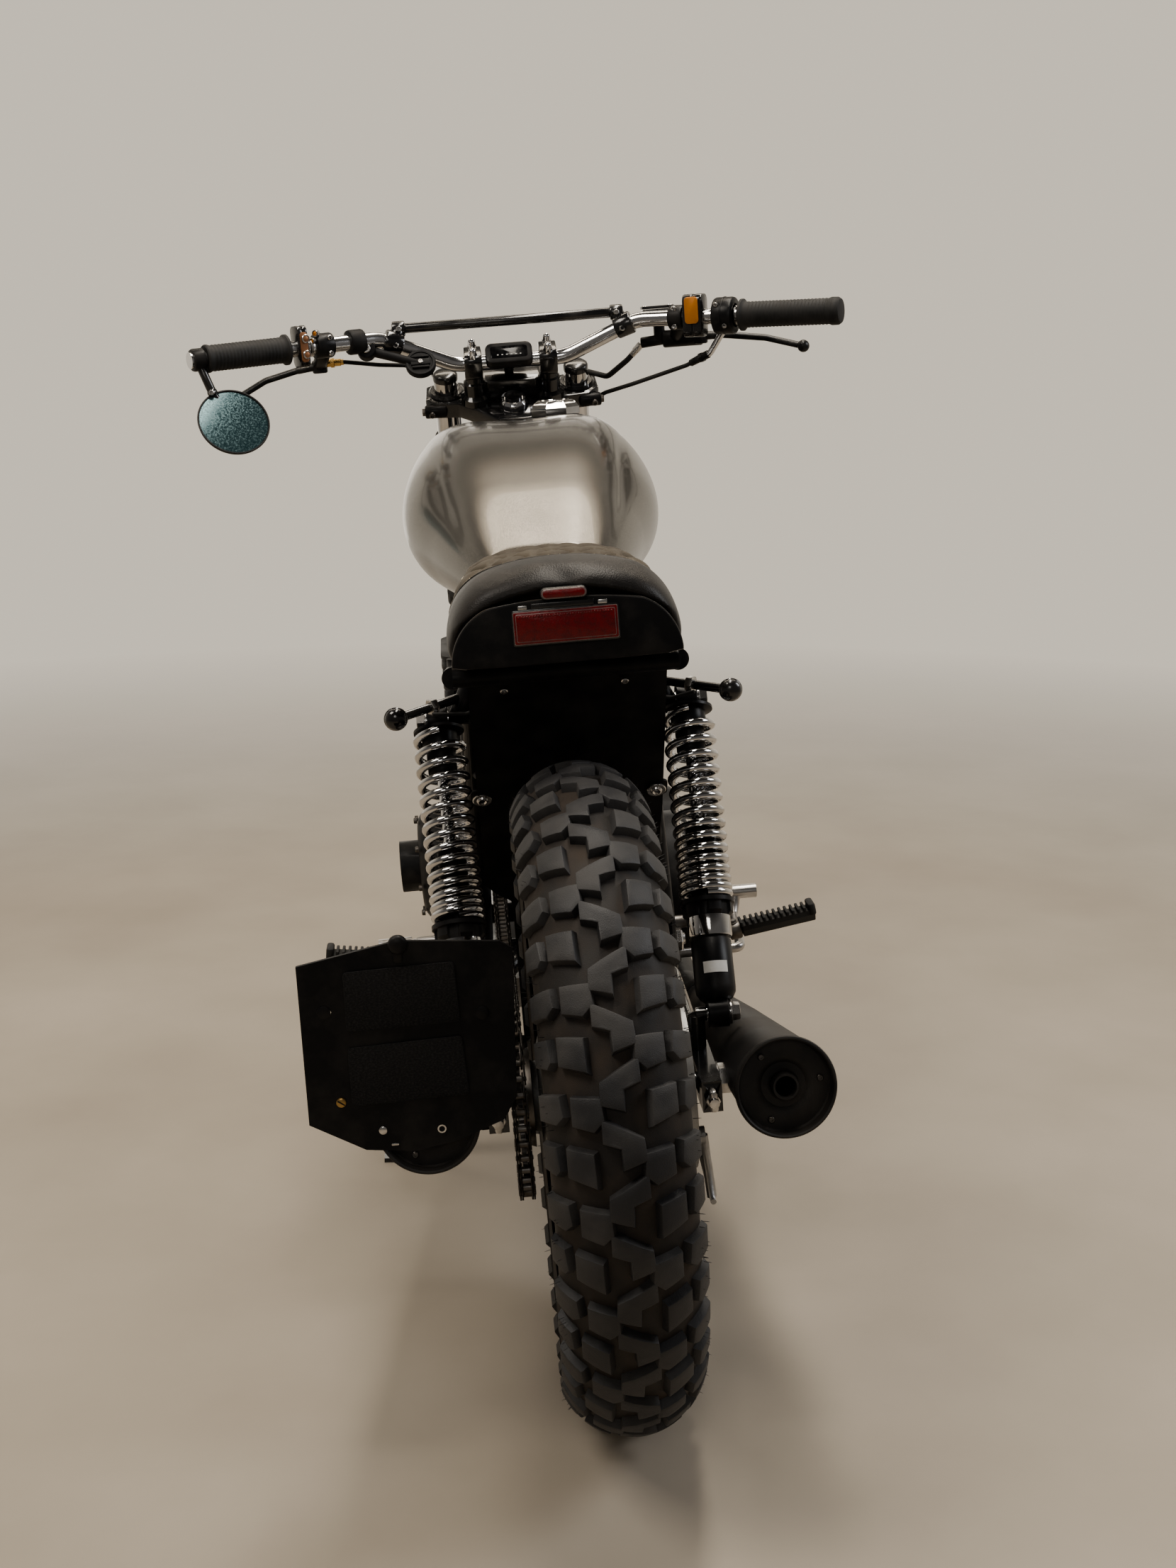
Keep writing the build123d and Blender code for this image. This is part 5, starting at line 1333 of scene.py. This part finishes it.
# button() mirrors its place by the side, so these three stand behind the clutch clamp on the left
bright += [button(-1, y, 17.5, up, 3.2, orange) for y, up in ((-255, 17), (-260, 7), (-252, -3))]
black += [collar(-1, clamp_rows(*rows)) for rows in ((284, 309, 25, 3), (295, 297.5, 25.6, 0.5),
                                                     (225, 243.5, 17, 2.4))]
shine.append(collar(-1, clamp_rows(309, 316, 14, 1)))
bright += [screw(on_bar(-y, 0, up) + rear * 20, rear, 3.4, 3) for y, up in ((291, 15), (301, -13))]
bright += [screw(on_bar(-234, 0, up) + rear * 11.5, rear, 3.8, 3.6) for up in (12, -12)]
hinge = barred((-24, -268, 14))
black += [rod(on_bar(-235, 4, -8), barred((-16, -236, 14)), 10, 2),
          rod(barred((-13, -216, 13)), barred((-22, -272, 13)), 12, 3, 40),
          rod(barred((-6, -186, 10)), barred((-14, -218, 13)), 7.5, 1.5),
          rod(hinge + (0, 0, -11), hinge + (0, 0, 8), 10.5, 2.5, 32)]
bright.append(screw(hinge + (0, 0, 8), (0, 0, 1), 5, 2.6))
grey = lever([(-24, -268, 14), (-34, -300, 13), (-52, -356, 5), (-73, -405, -10)], 5, 8.6)
# The brake fluid's little tank, with its lid and four screws
lid_at = barred((-6, -212, 50))
gloss.append(block((34, 44, 15), lid_at + (0, 0, -2.5), bend=6, edge=1.5))
black += [block((36, 46, 4), lid_at + (0, 0, 7.5), bend=6, edge=1.2),
          rod(barred((-13, -212, 12)), barred((-13, -212, 44)), 8, 1)]
bright += [screw(lid_at + (x, y, 9.4), (0, 0, 1), 2.6, 0.9)
           for x, y in ((-13, -18), (13, -18), (-13, 18), (13, 18))]
# The throttle cable leaves by a bright elbow with a ferrule at its end
ELBOW_REACH = 62
throttle = [(-62, -276, -10), (-40, -244, -25), (-3, -170, -46), (30, -134, -56), (84, -110, -70),
            (122, -104, -96),
            (150, -84, -118), (182, -26, -136)]
throttle = route(np.array([on_bar(-297, 6, -14), *barred(throttle)]), 12, 4)
elbow = throttle[np.linalg.norm(throttle - throttle[0], axis=1) < ELBOW_REACH]
shine.append(tube(elbow, 4.6, 20))
after = throttle[len(elbow) - 1:][::2]
grey.append(ferrule(after,
                    [(0, 0), (0, 5.6), (8, 5.6), (8.4, 7), (14, 7), (14.4, 5.4), (30, 5), (32, 3.6),
                     (32, 0)]))
# The brake hose runs down beside the fork to the caliper
hose = [(47, -98, 752), (47, -98, 600), (44, -122, 520), (0, -132, 470), (-46, -124, 420), (-50, -100, 360),
        (-62, -72, 130)]
hose = route(np.concatenate([barred([(-5, -186, 8), (2, -166, -12), (28, -138, -34)]), forked(hose)]), 18, 5)
hoses += [tube(throttle, 3), tube(hose, 4)]
bright.append(lathe([(0, 0), (0, 5.6), (12, 5.6), (14, 4.6), (20, 4.6), (20, 0)], hose[0], hose[2] - hose[0],
                    24,
                    six=(1, 2)))
make("right_hand_controls", "steering",
     {"satin_black": black, "gloss_black": gloss, "steel_bolt": bright, "chrome": shine,
      "button_orange": orange,
      "lever_black": grey, "black_rubber": hoses}, ("right_controls",), angle=40)

# %% [markdown]
# Mirror, phone holder and gauge: the mirror is a shallow dish with slightly domed glass on two
# short arms below the bar's end. The holder is a ball arm with a round slotted head, and the
# gauge is a satin housing with a pod on the rider's side, whose dark window has plain marks.

# %% Mirror on the left bar end
face = unit((-0.80, -0.30, 0.52))
centre = barred((-173, 378, -50))
black = [lathe([(-6, 0), (-6, 30), (-4, 41), (0, 46.6), (4, 48), (6, 47.6), (6, 46), (4.4, 45.4), (3, 44),
                (3, 0)],
               centre, face, 72),
         collar(1, [(410, OVER_BAR), (410, 13.4), (411, 15), (422, 15), (424, 14), (424.5, 12), (424.5, 0)])]
glass = [lathe([(5.6, 0), (5.4, 18), (4.9, 34), (4.2, 45.4), (2.6, 45.4), (2.6, 0)], centre, face, 72)]
stem = barred((-160, 402, -8))
grey = [rod(on_bar(417), stem, 6, 1.4), ball(stem, 7, sides=24),
        rod(stem, barred((-156, 390, -30)), 5.2, 1.2)]
bright = [screw(on_bar(424.3), bar_way(1), 8, 2.2), screw(stem + (-7, 0, 0), (-1, 0, 0), 3.8, 2.6)]
make("end_mirror", "steering",
     {"satin_black": black, "blue_glass": glass, "gloss_black": grey, "steel_bolt": bright}, ("mirror",))

# %% Phone holder
face = unit((-0.8, 0, 0.6))
head = barred((-44, 126, 6))
black = [collar(1, clamp_rows(203, 223, 17, 2.4)), rod(on_bar(212, 0, -2), barred((-28, 199, 26)), 9, 1.5),
         rod(barred((-24, 199, 26)), barred((-46, 199, 32)), 13, 2.5, 40),
         rod(barred((-36, 197, 29)), barred((-44, 128, 6)), (7, 5.4), 1.5),
         lathe([(-7, 0), (-7, 17), (-5, 21), (3, 21), (4.2, 20), (4.2, 17), (3, 16), (3, 0)], head, face, 56)]
black += [prism(round_box(3.2, 24, 1.4), 4, head + axes(face)[0] * slot + face * 4.4, face, edge=0.6)
          for slot in (-8.6, 8.6)]
black.append(prism(round_box(10, 27, 2), 2.4, head + face * 4.4, face, edge=0.6))
bright = [screw(barred((-45.5, 199, 31.8)), (-22, 0, 6), 6, 2.4), screw(head + face * 5.4, face, 3.6, 1.8)]
make("holder_head", "steering", {"matt_plastic": black, "steel_bolt": bright}, ("phone_mount",), angle=40)

# %% Gauge between the risers, and its pod on the rider's side
across, pod_face = (0, 1, 0), unit((-0.80, 0, 0.60))
pod, down = barred((-17, 2, 8)), np.cross(pod_face, across)
gauge = [prism(round_box(60, 34, 9), 14, barred((30, 2, 10)), np.array([-0.469, 0, 0.883]), across, 3.0),
         prism(round_box(66, 34, 9), 16, pod, pod_face, across, 3.0),
         block((50, 12, 46), barred((8, 2, 17)), (1, 0, 0), across, 4, 2),
         rod(barred((51, 2, -42)), barred((32, 2, 8)), 7)]
window = [prism(round_box(52, 20, 4), 1.2, pod + pod_face * 7.9, pod_face, across, 0.4)]
marks = [block((2.4, 1.2, 0.4), pod + pod_face * 8.6 + down * 5 + (0, y, 0), pod_face, across, 0.5, 0.15)
         for y in np.linspace(-16, 16, 6)]
make("small_gauge", "steering", {"satin_black": gauge, "dark_glass": window, "blank_label": marks},
     ("instrument",))

# %% Top yoke with its risers, clamps, stem nut and fork caps
fork_up = forked((0, 0, 1)) - forked((0, 0, 0))
fork_ahead = forked((1, 0, 0)) - forked((0, 0, 0))
BRIDGE_HALF = [(-60, 46), (-34, 78), (-31, 112), (-16, 125), (20, 123), (31, 100), (27, 72), (6, 44)]
bridge = [(-84, -24), (-84, 24), *BRIDGE_HALF, *((x, -y) for x, y in BRIDGE_HALF[::-1])]
gloss = [prism(rounded(bridge, 6), 24, forked((0, 0, 745)), fork_up, fork_ahead, 3.0),
         prism(round_box(88, 46, 12), 30, forked((-6, 0, 771)), fork_up, across, 4.0)]
satin, shine, dark = [], [], []
for side in SIDES:
    ear, top = forked((0, side * 94, 760)), forked((0, side * 94, 783))
    riser, held = forked((-30, side * 53, 755)), barred((0, side * 53, 0))
    post = unit(held - riser)
    gloss += [lathe([(-24, 18), (-24, 26), (-1, 26), (2, 23), (2, 18)], ear, fork_up, loop=True),
              lathe([(-4, 0), (-4, 17.9), (2.6, 17.9), (4.6, 17), (6.6, 14), (7.6, 9), (8, 0)], top, fork_up),
              lathe([(0, 0), (0, 19), (2, 21), (12, 21), (14, 18), (16, 15.6), (34, 15.6), (36, 13), (58, 13),
                     (58, 0)],
                    riser, post, 40),
              prism(round_box(42, 38, 10), 25, held, across, fork_ahead, 2.0)]
    for place in (-13, 13):
        shine.append(lathe([(-3, 0), (-3, 6.4), (3, 6.4), (4, 5.4), (9, 5.2), (11, 4.4), (12.4, 2.4),
                            (12.8, 0)],
                           held + fork_ahead * place + post * 18.5, post, 28, six=(1, 2)))
    satin.append(rod(forked((-30, side * 96, 745)), forked((-30, side * 127, 745)), 9.5, 2.5, 32))
    dark += [screw(forked((-30, side * 126, 745)), (0, side, 0), 6, 5, "hex"),
             screw(forked((-39, side * 117, 745)), -fork_ahead, 4.5, 3.4)]
nut = forked((-50, 0, 757))
shine.append(lathe([(0, 11), (0, 20), (2, 21), (9, 21), (12, 18), (14, 17), (14, 11)], nut, fork_up, 72,
                   loop=True,
                   six=(1, 2, 3, 4), flats=12))
gloss.append(lathe([(0, 0), (0, 11.5), (15, 11.5), (17, 9.6), (17.6, 4), (15, 3.4), (15, 0)], nut, fork_up,
                   40))
make("top_bridge", "steering",
     {"gloss_black": gloss, "satin_black": satin, "chrome": shine, "dark_steel": dark},
     ("top_yoke",))

# %% [markdown]
# Feet, plate holder and fasteners: a peg is a rubber bar with ribs across it and a raised outer
# end. The plate holder's own sheet is the solid's copy; two squares of hook tape, plugs and
# screws are added. Bolts stand where the real covers, axles and brackets are held.

# %% Footpegs
rubber, steel = [], []
for side in SIDES:
    inner, outer = np.array([430, side * 204, 346.0]), np.array([430, side * 300, 360.0])
    way, reach = unit(outer - inner), np.linalg.norm(outer - inner)
    up = unit(np.cross(way, (1, 0, 0)) * side)
    up = up * np.sign(up[2])
    ahead_way = np.cross(up, way)
    steel += [tube(route([(434, side * 118, 362), (434, side * 150, 362), (430, side * 204, 346)], 12, 3), 8,
                   20),
              rod(inner - way * 12, inner + way * 3, 11, 2),
              screw(inner - way * 6 + up * 10, up, 5, 4, "hex")]
    rubber.append(prism([(-13, 7), (13, 7), (13, 1), (5, -9), (-5, -9), (-13, 1)], reach - 6,
                        (inner + outer) / 2 + way, way, ahead_way, 1.5))
    rubber += [block((27, 3.4, 6), inner + way * place + up * 9, up, ahead_way, 1.4, 0.9)
               for place in np.linspace(4, reach - 14, 12)]
    rubber.append(block((29, 9, 15), outer - way * 5 + up * 7.5, up, ahead_way, 4, 2.4))
make("ribbed_pegs", "chassis", {"black_rubber": rubber, "dark_steel": steel}, ("footpegs",))

# %% Plate holder's tape and screws
tape_paint = Paint("hook_tape", (0.013, 0.013, 0.014), 0.9)
hooks = tape_paint.noise(tape_paint.place((1, 1, 1.6)), 420.0, 8.0, 0.75)
loops = tape_paint.between(hooks, 0.45, 0.75)
tape_paint.feed("Base Color", tape_paint.blend(loops, (0.006, 0.006, 0.007), (0.04, 0.038, 0.037)))
tape_paint.bump(hooks, 0.9, 0.0016)
finishes["hook_tape"] = tape_paint.material
TAPES = (((236, 522), (133, 523), (132, 464), (238, 464)), ((239, 448), (132, 450), (130, 391), (240, 390)))
PLATE_X, back = -118, (-1, 0, 0)
tapes = [prism(rounded(corners, 4), 2.4, (PLATE_X - 1, 0, 0), (1, 0, 0), across, 0.7) for corners in TAPES]
gold = [lathe([(-1, 0), (-1, 5), (1.6, 4.6), (2.4, 3.4), (2.4, 0)], (PLATE_X, 250, 395), back, 32)]
bright = [lathe([(-0.5, 0), (-0.5, 4), (0.8, 4), (1.4, 3), (1.4, 0)], (PLATE_X, 214, 363), back, 32),
          lathe([(-0.5, 2.8), (-0.5, 4.4), (0.9, 4.2), (0.9, 2.8)], (PLATE_X, 159, 359), back, 32, loop=True),
          block((7, 2, 1.6), (-118.6, 204, 348), back, across, 0.6, 0.4)]
bright += [screw((x, 123, z), across, 5.5, 5, "hex") for x, z in ((-38, 340), (-58, 400))]
black = [block((8, 1.2, 0.8), (-120.6, 250, 395), back, (0, 0.8, 0.6), 0.4, 0.2)]
black += [lathe([(-0.4, 0), (-0.4, 6.4), (0.8, 6.2), (1.2, 5), (1.2, 0)], (PLATE_X, y, z), back, 32)
          for y, z in ((111, 470), (257, 484.8))]
black += [lathe([(-1, 0), (-1, 9), (3, 9), (5, 7.4), (6, 3), (6, 0)], (PLATE_X, 183, 544), back, 40),
          prism(rounded([(-5, 0), (5, 0), (4, 18), (-4, 18)], 2), 2.4, (-118.4, 184, 545), back, across, 0.7)]
make("plate_fittings", "chassis",
     {"hook_tape": tapes, "brass": gold, "steel_bolt": bright, "satin_black": black},
     angle=40)

# %% Axle nuts, adjusters, engine and brake fasteners
bright, dark = [], []
for side in SIDES:
    out = (0, side, 0)
    bright += [lathe([(0, 0), (0, 17), (2, 17.4), (2.4, 13), (3, 15.6), (13, 15.6), (15, 14), (15, 9),
                      (19, 8.6),
                      (20, 0)], (0, side * 116, REAR_R), out, six=(4, 5, 6)),
               block((8, 22, 34), (-45, side * 106, REAR_R + 1), (1, 0, 0), across, 3, 1),
               lathe([(0, 0), (0, 8), (7, 8), (8, 7), (8, 5), (16, 5), (16.6, 0)], (-49, side * 106, REAR_R),
                     back, 30,
                     six=(1, 2, 3)),
               lathe([(0, 0), (0, 15), (9, 15), (11, 13), (11, 8), (14, 7), (14, 0)], (420, side * 122, 345),
                     out,
                     six=(1, 2, 3))]
    dark += [block((1.2, 12, 0.8), (x, side * 116.2, REAR_R + 2), out, (1, 0, 0), 0.4, 0.2)
             for x in np.linspace(-24, 40, 9)]
    covers = ((680, 183.6, 395, 66),) if side == 1 else ((555, -159.8, 377, 82), (680, -159.8, 395, 66))
    for angle in np.linspace(0, 2 * np.pi, 8, endpoint=False) + 0.2:
        reach = np.array([np.cos(angle), 0, np.sin(angle)])
        dark += [screw((x, y, z) + reach * r, out, 4, 4) for x, y, z, r in covers]
dark += [screw((x, side * 96, 713), (0, 0, 1), 5, 5) for x in (640, 690, 740) for side in SIDES]
make("machine_bolts", "chassis", {"steel_bolt": bright, "dark_steel": dark}, angle=40)
front_nuts = [lathe([(0, 0), (0, 14), (9, 14), (11, 12), (13, 0)], (WHEELBASE, side * 103, FRONT_R),
                    (0, side, 0), 40,
                    six=(1, 2, 3)) for side in SIDES]
make("front_axle_nuts", "steering", {"steel_bolt": front_nuts}, angle=40)

# %% Headlamp rim and glass
glass_paint = Paint("lamp_glass", (0.62, 0.64, 0.66), 0.08, 0.4, 0.9)
ribs = glass_paint.node("ShaderNodeTexWave", {"bands_direction": "Y"},
                        {"Vector": glass_paint.place(), "Scale": 60.0})
glass_paint.bump(ribs, 0.25, 0.0008)
glass_paint.feed("Roughness", 0.06 + ribs * 0.1)
finishes["lamp_glass"] = glass_paint.material
lamp_at = forked((101.3, 0, 574.3))
ahead = (1, 0, 0)
rim = lathe([(30, 82.2), (33, 84), (40, 83.6), (45, 80), (47, 76), (45, 73), (38, 72), (30, 72)], lamp_at,
            ahead, 96,
            loop=True)
dome = lathe([(50.4, 0), (50, 18), (48.5, 40), (45.5, 60), (41, 73), (36, 74.5), (36, 0)], lamp_at, ahead, 96)
make("lamp_front", "steering", {"chrome": [rim], "lamp_glass": [dome]})

# %% The remaining solids: copies of the frame's own, each with its finish
node_finish = {
    "frame": "satin_black", "swingarm": "gloss_black",
    "crankcase": "cast_alloy", "engine_covers": "engine_black", "cylinders": "engine_black",
    "cylinder_head": "engine_black", "carburettors": "cast_alloy", "air_filters": "black_rubber",
    "foot_controls": "brushed_steel", "rear_brake": "cast_alloy",
    "fork_tubes": "chrome", "fork_sliders": "satin_black", "bottom_yoke": "gloss_black",
    "headlamp": "satin_black",
    "brake_caliper": "satin_black",
    "front_mudguard": "satin_black", "front_disc": "brushed_steel", "side_stand": "gloss_black",
}
for node, finish in node_finish.items():
    dressed(node, finish)

# %% Plate holder: its sheet rises to its outer edge, so that edge is lifted on the copy
holder = dressed("plate_holder", "matt_plastic")
upright = (points_of(holder.data) * 1000 - home) @ lean_turn
LIFT_FROM, LIFT_OVER, LIFT, DRAW_IN, PLATE_BEHIND = 170, 100, 17.0, 4.0, -100
outer = ramp(upright[:, 1], LIFT_FROM, LIFT_OVER) * (upright[:, 0] < PLATE_BEHIND)
upright[:, 2] += LIFT * outer
upright[:, 1] -= DRAW_IN * outer
holder.data.vertices.foreach_set("co", parked(upright).ravel())
holder.data.update()

# %% The stage: one pale square that fades out in a circle, so that no edge or horizon shows
floor_mesh = bpy.data.meshes.new("floor")
SPAN, FADE_FROM, FADE_TO = 9.0, 1.5, 4.2
corners = [(-SPAN, -SPAN, 0), (SPAN, -SPAN, 0), (SPAN, SPAN, 0), (-SPAN, SPAN, 0)]
floor_mesh.from_pydata(corners, [], [(0, 1, 2, 3)])
floor = shown("floor", floor_mesh)
pale = Paint("pale_floor", (0.62, 0.58, 0.52), 0.75)
floor_at = pale.place()
pale.feed("Base Color", pale.blend(pale.between(pale.noise(floor_at, 2.2, 8.0), 0.35, 0.7),
                                   (0.47, 0.415, 0.345), (0.40, 0.35, 0.285)))
reach = pale.node("ShaderNodeVectorMath", {"operation": "LENGTH"}, {0: floor_at}, out=1)
pale.feed("Alpha", pale.between(reach, FADE_FROM, FADE_TO, 1.0, 0.0))
floor_mesh.materials.append(pale.material)
